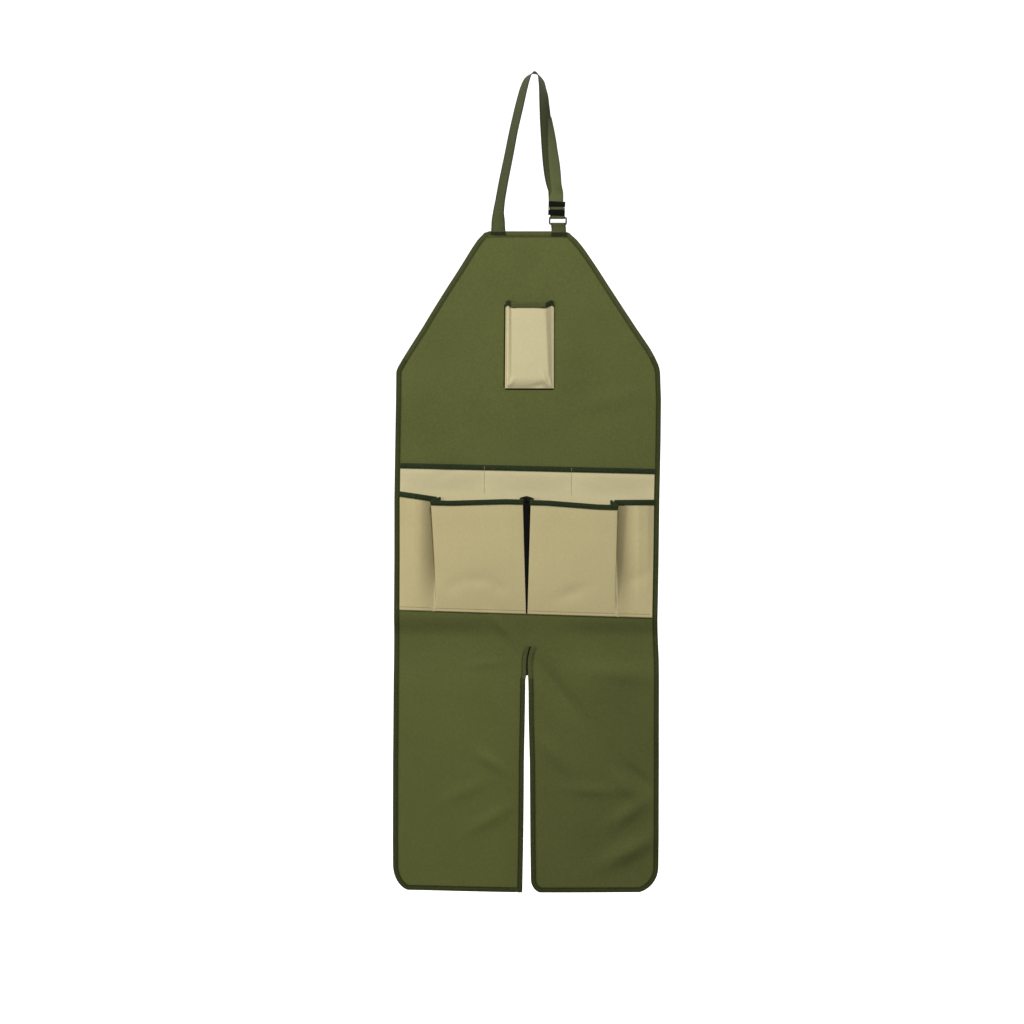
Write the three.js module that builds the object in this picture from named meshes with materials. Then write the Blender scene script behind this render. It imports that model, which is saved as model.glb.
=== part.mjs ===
// A gardening apron hanging by its neck strap: a green cloth body whose skirt is split
// into two legs, beige pockets, dark tape round the edges, and a webbing neck loop with
// a slider and a ring. Millimetres, +Z up, the front faces -Y. The origin is inside the
// top of the neck loop, where the apron hangs.

import * as THREE from 'three';
import { mergeVertices } from 'three/addons/utils/BufferGeometryUtils.js';

// Driving dimensions of the body.
const bodyWidth = 450;
const bodyLength = 1124.8;
const bibTopWidth = 144;
const shoulderDrop = 236;
const slitBelowPockets = 56.2;
const slitMouth = 15;
const hemCornerHeight = 43;
const leftHemCornerWidth = 31;
const rightHemCornerWidth = 41;
const innerCornerHeight = 22;
const innerCornerWidth = 20;
const clothThickness = 1.2;
const tapeWidth = 9;
const tapeThickness = 0.8;
const fitGap = 0.4;

// How the hanging cloth bows, curls and waves, and how far the hem drops to the right.
const bodyBow = 8;
const sideCurl = 4;
const legWave = 3;
const legWaveLength = 260;
const hemLean = 0.01;

// Driving dimensions of the pockets.
const pocketThickness = 1;
const phonePocketWidth = 83;
const phonePocketHeight = 149.5;
const phonePocketDrop = 116;
const phonePocketShift = 4.7;
const phonePocketDepth = 14;
const upperPocketDrop = 398.8;
const upperPocketGape = 10;
const pocketSeamDrop = 649.8;
const toolPocketDrop = 450;
const toolPocketDepth = 22;
const sidePocketDepth = 11;
const pocketLean = 0.019;
const seamLean = 0.025;

// Driving dimensions of the neck strap, its slider and its ring.
const neckLoopHeight = 271;
const webbingWidth = 25;
const webbingThickness = 1.4;
const threadGap = 0.4;
const strapLap = 26;
const leftStrapInset = 11;
const rightStrapInset = 4.6;
const tabLength = 16.5;
const ringSlotHeight = 6;
const ringBar = 2.4;
const sliderWidth = 31;
const sliderBarHeight = 9;
const sliderThickness = 2.6;
const sliderCentreBar = 1.2;
const tailLength = 140;

// Shares of the armhole's drop and of how far it spreads from the bib's top to the hips.
const armholeRows = [
  { down: 0, left: 0, right: 0 },
  { down: 0.053, left: 0.072, right: 0.081 },
  { down: 0.125, left: 0.148, right: 0.17 },
  { down: 0.27, left: 0.288, right: 0.319 },
  { down: 0.41, left: 0.43, right: 0.455 },
  { down: 0.56, left: 0.577, right: 0.604 },
  { down: 0.7, left: 0.709, right: 0.744 },
  { down: 0.85, left: 0.859, right: 0.9 },
  { down: 0.92, left: 0.927, right: 0.955 },
  { down: 0.963, left: 0.966, right: 0.985 },
  { down: 1, left: 1, right: 1 },
];

// Shares of the drop from the armholes to the hem and of half the body's width.
const skirtRows = [
  { down: 0, left: 0.988, right: 1.011 },
  { down: 0.055, left: 0.99, right: 1.018 },
  { down: 0.132, left: 0.995, right: 1.015 },
  { down: 0.25, left: 1.002, right: 1.005 },
  { down: 0.363, left: 1.002, right: 0.999 },
  { down: 0.478, left: 1.005, right: 0.991 },
  { down: 0.555, left: 1.006, right: 1.003 },
  { down: 0.75, left: 1.014, right: 1.004 },
  { down: 0.9, left: 1.016, right: 1.003 },
  { down: 1, left: 1.014, right: 0.999 },
];

// Shares of the slit's length, and its two edges as shares of its mouth.
const slitRows = [
  { down: 0, left: 0.4, right: 0.48 },
  { down: 0.03, left: 0.14, right: 0.22 },
  { down: 0.055, left: 0.02, right: 0.1 },
  { down: 0.08, left: -0.01, right: 0.07 },
  { down: 0.113, left: 0.01, right: 0.1 },
  { down: 0.135, left: -0.15, right: 0.17 },
  { down: 0.18, left: -0.155, right: 0.2 },
  { down: 0.3, left: -0.21, right: 0.22 },
  { down: 0.46, left: -0.3, right: 0.34 },
  { down: 0.63, left: -0.33, right: 0.38 },
  { down: 0.79, left: -0.38, right: 0.41 },
  { down: 1, left: -0.49, right: 0.49 },
];

// The neck strap from the bib's left corner over the top and down to the slider:
// height as a share of the loop, place between the two strap ends, and the turn in
// degrees that takes its outer edge back.
const strapRows = [
  { up: 0.03, across: 0, turn: 20 },
  { up: 0.07, across: 0, turn: 26 },
  { up: 0.12, across: 0.003, turn: 42 },
  { up: 0.2, across: 0.033, turn: 50 },
  { up: 0.327, across: 0.093, turn: 51 },
  { up: 0.478, across: 0.174, turn: 53 },
  { up: 0.629, across: 0.251, turn: 55 },
  { up: 0.78, across: 0.342, turn: 55 },
  { up: 0.893, across: 0.415, turn: 59 },
  { up: 0.956, across: 0.472, turn: 66 },
  { up: 0.988, across: 0.535, turn: 80 },
  { up: 1, across: 0.598, turn: 89 },
  { up: 0.985, across: 0.664, turn: 83 },
  { up: 0.945, across: 0.712, turn: 67 },
  { up: 0.893, across: 0.736, turn: 60 },
  { up: 0.855, across: 0.75, turn: 53 },
  { up: 0.78, across: 0.765, turn: 47 },
  { up: 0.704, across: 0.78, turn: 41 },
  { up: 0.629, across: 0.797, turn: 36 },
  { up: 0.553, across: 0.814, turn: 32 },
  { up: 0.478, across: 0.832, turn: 28 },
  { up: 0.4, across: 0.858, turn: 22 },
  { up: 0.327, across: 0.893, turn: 16 },
  { up: 0.27, across: 0.94, turn: 8 },
];

// The strap's free tail above the slider, with shares of its length and of the space
// between the strap ends, its turn, and how far it springs forward as a share of the
// webbing's width.
const tailRows = [
  { up: 0.1, across: 0, turn: -8, forward: 0.02 },
  { up: 0.2, across: -0.02, turn: -24, forward: 0.1 },
  { up: 0.33, across: -0.035, turn: -32, forward: 0.2 },
  { up: 0.46, across: -0.042, turn: -40, forward: 0.3 },
  { up: 0.6, across: -0.05, turn: -49, forward: 0.4 },
  { up: 0.74, across: -0.06, turn: -60, forward: 0.5 },
  { up: 0.87, across: -0.073, turn: -71, forward: 0.6 },
  { up: 1, across: -0.088, turn: -82, forward: 0.68 },
];

// The phone pocket from left to right, a row for each fold: its place at the mouth and
// at the seam as shares of half the pocket's width, how far it stands forward as a
// share of the pocket's depth, and how far the mouth dips as a share of the height.
const phoneFolds = [
  { mouth: -0.97, seam: -1, stand: 0, dip: 0.02 },
  { mouth: -0.84, seam: -0.87, stand: 0.03, dip: 0 },
  { mouth: -0.74, seam: -0.71, stand: 0.9, dip: 0.038 },
  { mouth: -0.35, seam: -0.3, stand: 1, dip: 0.036 },
  { mouth: 0.25, seam: 0.3, stand: 1, dip: 0.036 },
  { mouth: 0.64, seam: 0.8, stand: 0.9, dip: 0.042 },
  { mouth: 0.9, seam: 0.92, stand: 0.03, dip: 0 },
  { mouth: 1, seam: 1, stand: 0, dip: 0.02 },
];

// How far the phone pocket's face stands forward on its way down, as shares.
const phoneBelly = [
  { down: 0, stand: 1 },
  { down: 0.1, stand: 0.96 },
  { down: 0.4, stand: 0.86 },
  { down: 0.7, stand: 0.76 },
  { down: 0.9, stand: 0.62 },
  { down: 0.97, stand: 0.36 },
  { down: 1, stand: 0.08 },
];

// The upper pocket from left to right: place as a share of half its width, and how far
// the mouth gapes. The two places that gape by nothing inside it are sewn down.
const upperFolds = [
  { across: -1, gape: 0 },
  { across: -0.92, gape: 0.6 },
  { across: -0.76, gape: 1 },
  { across: -0.58, gape: 1 },
  { across: -0.41, gape: 0.6 },
  { across: -0.335, gape: 0 },
  { across: -0.25, gape: 0.6 },
  { across: -0.09, gape: 1 },
  { across: 0.1, gape: 1 },
  { across: 0.27, gape: 0.6 },
  { across: 0.35, gape: 0 },
  { across: 0.43, gape: 0.6 },
  { across: 0.6, gape: 1 },
  { across: 0.77, gape: 1 },
  { across: 0.92, gape: 0.6 },
  { across: 1, gape: 0 },
];

// The two tool pockets, with shares of half the pocket row's width: the tuck beside the
// side pocket, and the face's outer edge at the mouth and at the seam. The mouth's dips
// below the pocket row's top are in shares of the tool pocket's depth.
const toolPockets = [
  {
    name: 'left',
    side: -1,
    tuck: 0.682,
    mouthEdge: 0.76,
    seamEdge: 0.705,
    edgeDip: 0.5,
    midDip: 0.28,
    tuckDip: 0.22,
    sideDip: -0.14,
  },
  {
    name: 'right',
    side: 1,
    tuck: 0.662,
    mouthEdge: 0.716,
    seamEdge: 0.7,
    edgeDip: 0.53,
    midDip: 0.31,
    tuckDip: 0.15,
    sideDip: 0.06,
  },
];

// How far the tool pockets' faces stand forward on their way down, as shares.
const toolBelly = [
  { down: 0, stand: 1 },
  { down: 0.07, stand: 0.95 },
  { down: 0.3, stand: 0.78 },
  { down: 0.55, stand: 0.56 },
  { down: 0.8, stand: 0.3 },
  { down: 0.93, stand: 0.12 },
  { down: 1, stand: 0 },
];

// Places that follow from the dimensions above.
const bibTop = -neckLoopHeight;
const leftStrapAcross = -bibTopWidth / 2 + leftStrapInset + webbingWidth / 2;
const rightStrapAcross = bibTopWidth / 2 - rightStrapInset - webbingWidth / 2;
const strapSpacing = rightStrapAcross - leftStrapAcross;
const peakShare = Math.max(...strapRows.map((row) => (row.up === 1 ? row.across : 0)));
const bodyMiddle = -(leftStrapAcross + peakShare * strapSpacing);
const tapeWrap = fitGap + tapeThickness;
const slitTop = pocketSeamDrop + slitBelowPockets;
const slitLength = bodyLength - slitTop;
const panelFront = clothThickness / 2;
const panelTapeHalf = panelFront + tapeWrap;
const strapDepth = panelTapeHalf + fitGap + webbingThickness / 2;
const layerStep = webbingThickness + threadGap;

const green = { color: 0x5c6337, roughness: 0.9, metalness: 0 };
const darkTape = { color: 0x3b4126, roughness: 0.85, metalness: 0 };
const pocketTape = { color: 0x28341c, roughness: 0.85, metalness: 0 };
const beige = { color: 0xbeb287, roughness: 0.9, metalness: 0 };
const webbing = { color: 0x4c5230, roughness: 0.85, metalness: 0 };
const plastic = { color: 0x14160e, roughness: 0.4, metalness: 0 };

const apron = new THREE.Group();

// A value between the rows of a table, read by one column against another.
function lookUp(rows, key, value, column) {
  const last = rows.length - 1;
  let index = 0;
  while (index < last - 1 && rows[index + 1][key] < value) {
    index += 1;
  }
  const from = rows[index];
  const to = rows[index + 1];
  const share = Math.min(Math.max((value - from[key]) / (to[key] - from[key]), 0), 1);
  return from[column] + (to[column] - from[column]) * share;
}

// A number that grows smoothly from 0 to 1 between two places.
function smooth(from, to, value) {
  const share = Math.min(Math.max((value - from) / (to - from), 0), 1);
  return share * share * (3 - 2 * share);
}

// How far back the middle of the body's cloth hangs at a place.
function drape(across, down) {
  const side = across / (bodyWidth / 2);
  const fall = down / bodyLength;
  const bow = -bodyBow * Math.sin(Math.PI * Math.min(Math.max(fall, 0), 1));
  const curl = sideCurl * Math.abs(side) ** 3;
  const legs = smooth(slitTop, bodyLength, down);
  const wave = legWave * legs * Math.cos((2 * Math.PI * across) / legWaveLength);
  return bow + curl + wave;
}

// A place on the apron, out being its distance in front of the cloth's middle.
function place(across, down, out) {
  const lean = (hemLean * across * down) / bodyLength;
  return new THREE.Vector3(across + bodyMiddle, drape(across, down) - out, bibTop - down - lean);
}

// The body's outline at a height, on the left side or the right.
function sideEdge(side, down) {
  const column = side < 0 ? 'left' : 'right';
  const hipHalf = (bodyWidth / 2) * skirtRows[0][column];
  if (down < shoulderDrop) {
    const spread = lookUp(armholeRows, 'down', down / shoulderDrop, column);
    return side * (bibTopWidth / 2 + (hipHalf - bibTopWidth / 2) * spread);
  }
  const fall = (down - shoulderDrop) / (bodyLength - shoulderDrop);
  const half = (bodyWidth / 2) * lookUp(skirtRows, 'down', fall, column);
  const cornerWidth = side < 0 ? leftHemCornerWidth : rightHemCornerWidth;
  return side * (half - cornerWidth * cornerBite(down, hemCornerHeight));
}

// Where the pockets end beside the edge tape, on the left side or the right.
function pocketEdge(side, down) {
  return Math.abs(sideEdge(side, down)) - tapeWidth - 2 * fitGap;
}

// How far a round corner at the hem has come in at a height, from 0 to 1.
function cornerBite(down, height) {
  const drop = Math.min(Math.max((down - (bodyLength - height)) / height, 0), 1);
  return 1 - Math.sqrt(1 - drop * drop);
}

// The slit's edge on the left leg or the right.
function slitEdge(side, down) {
  const column = side < 0 ? 'left' : 'right';
  const fall = (down - slitTop) / slitLength;
  const edge = slitMouth * lookUp(slitRows, 'down', fall, column);
  const bite = side > 0 ? innerCornerWidth * cornerBite(down, innerCornerHeight) : 0;
  return edge + bite;
}

// The levels of the cloth's rows from the bib's top to the hem.
function clothLevels() {
  const levels = [];
  const shoulderRows = 7;
  const middleRows = 11;
  const cornerRows = 5;
  for (let index = 0; index < shoulderRows; index += 1) {
    levels.push(tapeWrap + ((shoulderDrop - tapeWrap) * index) / shoulderRows);
  }
  for (let index = 0; index < middleRows; index += 1) {
    levels.push(shoulderDrop + ((slitTop - shoulderDrop) * index) / middleRows);
  }
  const cornerTop = bodyLength - hemCornerHeight;
  for (const row of slitRows.slice(0, -1)) {
    levels.push(slitTop + (cornerTop - slitTop) * (row.down / slitRows.at(-2).down));
  }
  for (let index = 1; index <= cornerRows; index += 1) {
    const angle = (Math.PI / 2) * (index / cornerRows);
    levels.push(cornerTop + (hemCornerHeight - tapeWrap) * Math.sin(angle));
  }
  return levels;
}

// The places across one leg's cloth at a height, from its outer edge to the slit.
function legColumns(side, down) {
  const outer = sideEdge(side, down) - side * tapeWrap;
  const inner = slitEdge(side, down) + side * tapeWrap;
  const reach = tapeWidth - tapeWrap;
  const steps = 8;
  const places = [outer];
  for (let index = 0; index <= steps; index += 1) {
    const from = outer - side * reach;
    const to = inner + side * reach;
    places.push(from + ((to - from) * index) / steps);
  }
  places.push(inner);
  return places;
}

// A closed solid of loose triangles, welded, with its faces turned outwards.
function solidFrom(triangles) {
  const flat = [];
  let volume = 0;
  for (const [a, b, c] of triangles) {
    volume += a.dot(new THREE.Vector3().crossVectors(b, c));
  }
  for (const [a, b, c] of triangles) {
    const order = volume < 0 ? [a, c, b] : [a, b, c];
    for (const point of order) {
      flat.push(point.x, point.y, point.z);
    }
  }
  const geometry = new THREE.BufferGeometry();
  geometry.setAttribute('position', new THREE.Float32BufferAttribute(flat, 3));
  return mergeVertices(geometry, 1e-3);
}

// Two triangles for a four-sided patch.
function patch(triangles, a, b, c, d) {
  triangles.push([a, b, c], [a, c, d]);
}

// A wall of cloth between a front grid and a back grid of the same size. A cell for
// which skip gives true is left out, and its edges are closed.
function wallSolid(front, back, skip = () => false) {
  const triangles = [];
  const rows = front.length - 1;
  const columns = front[0].length - 1;
  const open = (row, column) =>
    row < 0 || column < 0 || row >= rows || column >= columns || skip(row, column);
  for (let row = 0; row < rows; row += 1) {
    for (let column = 0; column < columns; column += 1) {
      if (open(row, column)) {
        continue;
      }
      const corners = [
        [row, column],
        [row, column + 1],
        [row + 1, column + 1],
        [row + 1, column],
      ];
      const f = corners.map(([line, index]) => front[line][index]);
      const b = corners.map(([line, index]) => back[line][index]);
      patch(triangles, f[0], f[3], f[2], f[1]);
      patch(triangles, b[1], b[2], b[3], b[0]);
      if (open(row - 1, column)) {
        patch(triangles, f[1], b[1], b[0], f[0]);
      }
      if (open(row, column + 1)) {
        patch(triangles, f[1], f[2], b[2], b[1]);
      }
      if (open(row + 1, column)) {
        patch(triangles, f[2], f[3], b[3], b[2]);
      }
      if (open(row, column - 1)) {
        patch(triangles, f[3], f[0], b[0], b[3]);
      }
    }
  }
  return solidFrom(triangles);
}

// A solid swept through closed sections of the same number of points. It is capped at
// both ends, or closed on itself like a ring.
function sweptSolid(sections, capTriangles, isRing = false) {
  const triangles = [];
  const count = sections[0].length;
  const spans = isRing ? sections.length : sections.length - 1;
  for (let index = 0; index < spans; index += 1) {
    const from = sections[index];
    const to = sections[(index + 1) % sections.length];
    for (let corner = 0; corner < count; corner += 1) {
      const next = (corner + 1) % count;
      patch(triangles, from[corner], from[next], to[next], to[corner]);
    }
  }
  if (!isRing) {
    const first = sections[0];
    const last = sections.at(-1);
    for (const [a, b, c] of capTriangles) {
      triangles.push([first[a], first[c], first[b]], [last[a], last[b], last[c]]);
    }
  }
  return solidFrom(triangles);
}

function addPiece(name, geometry, finish) {
  const mesh = new THREE.Mesh(geometry, new THREE.MeshStandardMaterial(finish));
  mesh.name = name;
  apron.add(mesh);
}

// The section of a folded tape, as distances beyond the cloth's edge and in front of
// the cloth's middle, and the triangles that cap it.
function tapeSection(clothHalf) {
  const inner = clothHalf + fitGap;
  const outer = inner + tapeThickness;
  const reach = -(tapeWidth - tapeWrap);
  return [
    { beyond: reach, out: outer },
    { beyond: tapeWrap, out: outer },
    { beyond: tapeWrap, out: -outer },
    { beyond: reach, out: -outer },
    { beyond: reach, out: -inner },
    { beyond: fitGap, out: -inner },
    { beyond: fitGap, out: inner },
    { beyond: reach, out: inner },
  ];
}
const tapeCaps = [
  [0, 1, 6],
  [0, 6, 7],
  [1, 2, 5],
  [1, 5, 6],
  [2, 3, 4],
  [2, 4, 5],
];

// Tape folded over the body's edge along a path of places on the cloth's own edge. The
// cloth lies on the side that sideSign gives, and trims set the ends.
function edgeTape(name, path, sideSign, trimStart, trimEnd) {
  const profile = tapeSection(clothThickness / 2);
  const sections = path.map((point, index) => {
    const before = path[Math.max(index - 1, 0)];
    const after = path[Math.min(index + 1, path.length - 1)];
    const into = direction(before, point) ?? direction(point, after);
    const away = direction(point, after) ?? into;
    const normal = { across: -(into.down + away.down), down: into.across + away.across };
    const size = Math.hypot(normal.across, normal.down);
    const stretch = 2 / size;
    return profile.map(({ beyond, out }) => {
      let spot = {
        across: point.across + ((sideSign * normal.across) / size) * beyond * stretch,
        down: point.down + ((sideSign * normal.down) / size) * beyond * stretch,
      };
      if (index === 0 && trimStart) {
        spot = trimStart(spot, away);
      }
      if (index === path.length - 1 && trimEnd) {
        spot = trimEnd(spot, into);
      }
      return place(spot.across, spot.down, out);
    });
  });
  addPiece(name, sweptSolid(sections, tapeCaps), darkTape);
}

// The unit direction from one place to another, or nothing where they are the same.
function direction(from, to) {
  const across = to.across - from.across;
  const down = to.down - from.down;
  const length = Math.hypot(across, down);
  return length > 0 ? { across: across / length, down: down / length } : undefined;
}

// Slides a place along a direction until it is at a level.
function slideToLevel(level) {
  return (spot, along) => ({
    across: spot.across + (along.across * (level - spot.down)) / along.down,
    down: level,
  });
}

// The body, one cloth with its slit cut up from the hem.
function makeBody() {
  const levels = clothLevels();
  const grid = (out) =>
    levels.map((down) => {
      const left = legColumns(-1, down);
      const right = legColumns(1, down).reverse();
      return [...left, ...right].map((across) => place(across, down, out));
    });
  const slitColumn = legColumns(-1, 0).length - 1;
  const slitRow = levels.findIndex((down) => down >= slitTop - 1e-6);
  const isSlit = (row, column) => row >= slitRow && column === slitColumn;
  addPiece('body_cloth', wallSolid(grid(panelFront), grid(-panelFront), isSlit), green);
}

// The cloth's side edge as a path from the bib's top to the end of the hem's corner.
function sidePath(side) {
  return clothLevels().map((down) => ({
    across: sideEdge(side, down) - side * tapeWrap,
    down,
  }));
}

// The cloth's edge beside the slit, from its top down.
function slitPath(side) {
  const levels = clothLevels().filter((down) => down >= slitTop - 1e-6);
  return levels.map((down) => ({ across: slitEdge(side, down) + side * tapeWrap, down }));
}

// Places along one leg's hem, between its outer edge and the slit.
function hemPath(side) {
  const hem = bodyLength - tapeWrap;
  return legColumns(side, hem).slice(1, -1).map((across) => ({ across, down: hem }));
}

// Tape round the body's edges: the left side with its hem, the slit's left edge, the
// right leg all the way round, and the bib's top.
function makeEdgeTapes() {
  const hem = bodyLength - tapeWrap;
  const leftSide = sidePath(-1);
  const rightSide = sidePath(1);
  const leftSlit = slitPath(-1);
  const rightSlit = slitPath(1);
  const leftHem = hemPath(-1);
  const leftHemEnd = leftSlit.at(-1).across - (tapeWidth - tapeWrap) - fitGap;
  const leftRun = [...leftSide, ...leftHem.slice(0, -1), { across: leftHemEnd, down: hem }];
  const rightRun = [...rightSlit, ...hemPath(1).reverse(), ...rightSide.reverse()];
  edgeTape('edge_tape_left', leftRun, 1, slideToLevel(0));
  const belowSlitTop = slideToLevel(slitTop + fitGap);
  edgeTape('edge_tape_slit_left', leftSlit, -1, belowSlitTop, slideToLevel(bodyLength));
  edgeTape('edge_tape_right', rightRun, 1, belowSlitTop, slideToLevel(0));
  const clear = (side, down) => {
    const slope = Math.abs(sideEdge(side, tapeWidth) - sideEdge(side, 0)) / tapeWidth;
    return side * (Math.abs(sideEdge(side, down)) - (tapeWidth + fitGap) * Math.hypot(1, slope));
  };
  const topEnd = (side) => (spot) => ({ across: clear(side, spot.down), down: spot.down });
  const top = [-1, -0.5, 0, 0.5, 1].map((share) => ({
    across: clear(share < 0 ? -1 : 1, 0) * Math.abs(share),
    down: tapeWrap,
  }));
  edgeTape('edge_tape_top', top, -1, topEnd(-1), topEnd(1));
}

// A pocket's wall as rows of places on its inner side, from the mouth to the seam. Each
// place holds its spot across, its level and its distance in front of the cloth.
function pocketGrids(rows) {
  const mitres = rows.map((row) => row.map((_, index) => mitre(row, index)));
  const grid = (step) =>
    rows.map((row, line) =>
      row.map(({ across, down, out }, index) => {
        const push = mitres[line][index];
        return place(across + push.across * step, down, out + push.out * step);
      }),
    );
  return { front: grid(pocketThickness), back: grid(0) };
}

// The direction in plan that lays a layer of even thickness on a folded wall.
function mitre(row, index) {
  const normalOf = (from, to) => {
    const across = to.across - from.across;
    const out = to.out - from.out;
    const length = Math.hypot(across, out);
    return { across: -out / length, out: across / length };
  };
  const first = index > 0 ? normalOf(row[index - 1], row[index]) : undefined;
  const second = index < row.length - 1 ? normalOf(row[index], row[index + 1]) : undefined;
  const one = first ?? second;
  const two = second ?? first;
  const across = one.across + two.across;
  const out = one.out + two.out;
  const size = Math.hypot(across, out);
  const longest = 2.4;
  const stretch = Math.min(2 / size, longest);
  return { across: (across / size) * stretch, out: (out / size) * stretch };
}

// Tape folded over a pocket's mouth, following the wall's first row of cells.
function mouthTape(name, rows) {
  const [mouth, below] = rows;
  const profile = tapeSection(pocketThickness / 2);
  const sections = mouth.map((top, index) => {
    const low = below[index];
    const push = mitre(mouth, index);
    return profile.map(({ beyond, out }) => {
      const down = top.down - beyond;
      const share = (down - top.down) / (low.down - top.down);
      const middle = pocketThickness / 2 + out;
      return place(
        top.across + (low.across - top.across) * share + push.across * middle,
        down,
        top.out + (low.out - top.out) * share + push.out * middle,
      );
    });
  });
  addPiece(name, sweptSolid(sections, tapeCaps), pocketTape);
}

function addPocket(name, rows) {
  const { front, back } = pocketGrids(rows);
  addPiece(name, wallSolid(front, back), beige);
  mouthTape(`${name}_tape`, rows);
}

// The phone pocket on the bib, whose face stands forward between two pleated sides.
function makePhonePocket() {
  const base = panelFront + fitGap;
  const atMouth = base + tapeWrap;
  const half = phonePocketWidth / 2;
  const rows = phoneBelly.map(({ down, stand }) =>
    phoneFolds.map((fold) => {
      const top = phonePocketDrop + tapeWrap + fold.dip * phonePocketHeight;
      const seam = phonePocketDrop + phonePocketHeight + tapeWrap;
      const across = half * (fold.mouth + (fold.seam - fold.mouth) * down);
      const foot = atMouth + (base - atMouth) * smooth(0.1, 0.4, down);
      return {
        across: phonePocketShift + across,
        down: top + (seam - top) * down,
        out: foot + phonePocketDepth * fold.stand * stand,
      };
    }),
  );
  addPocket('phone_pocket', rows);
}

// The row of three pockets across the belly, whose mouths gape a little. Its cloth runs
// down behind the tool pockets to their seam.
function makeUpperPocket() {
  const base = panelFront + fitGap;
  const atMouth = base + tapeWrap;
  const flatBelow = toolPocketDrop - upperPocketDrop - tapeWidth;
  const height = pocketSeamDrop - upperPocketDrop;
  const levels = [
    { down: 0, gape: 1, foot: atMouth },
    { down: flatBelow * 0.36, gape: 0.9, foot: atMouth },
    { down: flatBelow * 0.72, gape: 0.55, foot: base },
    { down: flatBelow, gape: 0, foot: base },
    { down: height * 0.55, gape: 0, foot: base },
    { down: height, gape: 0, foot: base },
  ];
  const rows = levels.map((level) =>
    upperFolds.map((fold) => {
      const side = fold.across < 0 ? -1 : 1;
      const across = fold.across * pocketEdge(side, upperPocketDrop + level.down);
      const share = level.down / height;
      const lean = across * (pocketLean + (seamLean - pocketLean) * share);
      return {
        across,
        down: upperPocketDrop + tapeWrap + level.down + lean,
        out: level.foot + upperPocketGape * fold.gape * level.gape,
      };
    }),
  );
  addPocket('upper_pocket', rows);
}

const toolBase = panelFront + fitGap + pocketThickness + fitGap;
const toolFoot = toolBase + tapeWrap;

// How far beyond the face's edge a tuck ends at the seam, as a share like the table's.
const tuckSpread = 0.02;

// One tool pocket: its face stands forward, its outer side tucks back under the face
// and its inner side is pleated where the two tool pockets meet.
function makeToolPocket({ name, side, tuck, mouthEdge, seamEdge, edgeDip, midDip, tuckDip }) {
  const middleGap = 2;
  const faceDip = (edgeDip + midDip) / 2;
  const folds = [
    { mouth: tuck, seam: seamEdge + tuckSpread, lift: 1, stand: 0, dip: tuckDip },
    { mouth: mouthEdge, seam: seamEdge, lift: 0, stand: 0.84, dip: edgeDip },
    { mouth: mouthEdge * 0.78, seam: seamEdge * 0.78, lift: 0, stand: 0.98, dip: edgeDip },
    { mouth: mouthEdge * 0.5, seam: seamEdge * 0.5, lift: 0, stand: 1, dip: faceDip },
    { mouth: mouthEdge * 0.22, seam: seamEdge * 0.2, lift: 0, stand: 0.96, dip: midDip },
    { mouth: 0.024, seam: 0.02, lift: 0, stand: 0.82, dip: midDip },
    { mouth: 0.058, seam: 0.01, lift: 0, stand: 0.4, dip: midDip / 2 },
    { mouth: 0, seam: 0, lift: 1, stand: 0, dip: 0 },
  ];
  const ordered = side < 0 ? folds : folds.reverse();
  const rows = toolBelly.map(({ down, stand }) =>
    ordered.map((fold) => {
      const share = fold.mouth + (fold.seam - fold.mouth) * down;
      const edge = pocketEdge(side, toolPocketDrop + (pocketSeamDrop - toolPocketDrop) * down);
      const across = side * (middleGap + (edge - middleGap) * share);
      const top = toolPocketDrop + tapeWrap + toolPocketDepth * fold.dip + across * pocketLean;
      const seam = pocketSeamDrop + across * seamLean;
      const foot = toolFoot + (toolBase - toolFoot) * smooth(0.07, 0.3, down);
      return {
        across,
        down: top + (seam - top) * down,
        out: foot + pocketThickness * fold.lift + toolPocketDepth * fold.stand * stand,
      };
    }),
  );
  addPocket(`tool_pocket_${name}`, rows);
}

// The narrow pocket between a tool pocket and the apron's side.
function makeSidePocket({ name, side, tuck, seamEdge, tuckDip, sideDip }) {
  const clearance = 6;
  const seamClearance = 3;
  const shape = [
    { share: 0, stand: 0 },
    { share: 0.3, stand: 0.85 },
    { share: 0.65, stand: 1 },
    { share: 1, stand: 0 },
  ];
  const ordered = side < 0 ? shape : [...shape].reverse();
  const rows = toolBelly.map(({ down, stand }) =>
    ordered.map((fold) => {
      const edge = pocketEdge(side, toolPocketDrop + (pocketSeamDrop - toolPocketDrop) * down);
      const tuckMouth = edge * tuck + clearance;
      const tuckSeam = edge * (seamEdge + tuckSpread) + seamClearance;
      const inner = tuckMouth + (tuckSeam - tuckMouth) * down;
      const across = side * (edge + (inner - edge) * fold.share);
      const dip = sideDip + (tuckDip - sideDip) * fold.share;
      const top = toolPocketDrop + tapeWrap + toolPocketDepth * dip + across * pocketLean;
      const seam = pocketSeamDrop + across * seamLean;
      const settle = smooth(0.07, 0.3, down);
      return {
        across,
        down: top + (seam - top) * down,
        out: toolFoot + (toolBase - toolFoot) * settle + sidePocketDepth * fold.stand * stand,
      };
    }),
  );
  addPocket(`side_pocket_${name}`, rows);
}

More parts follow.
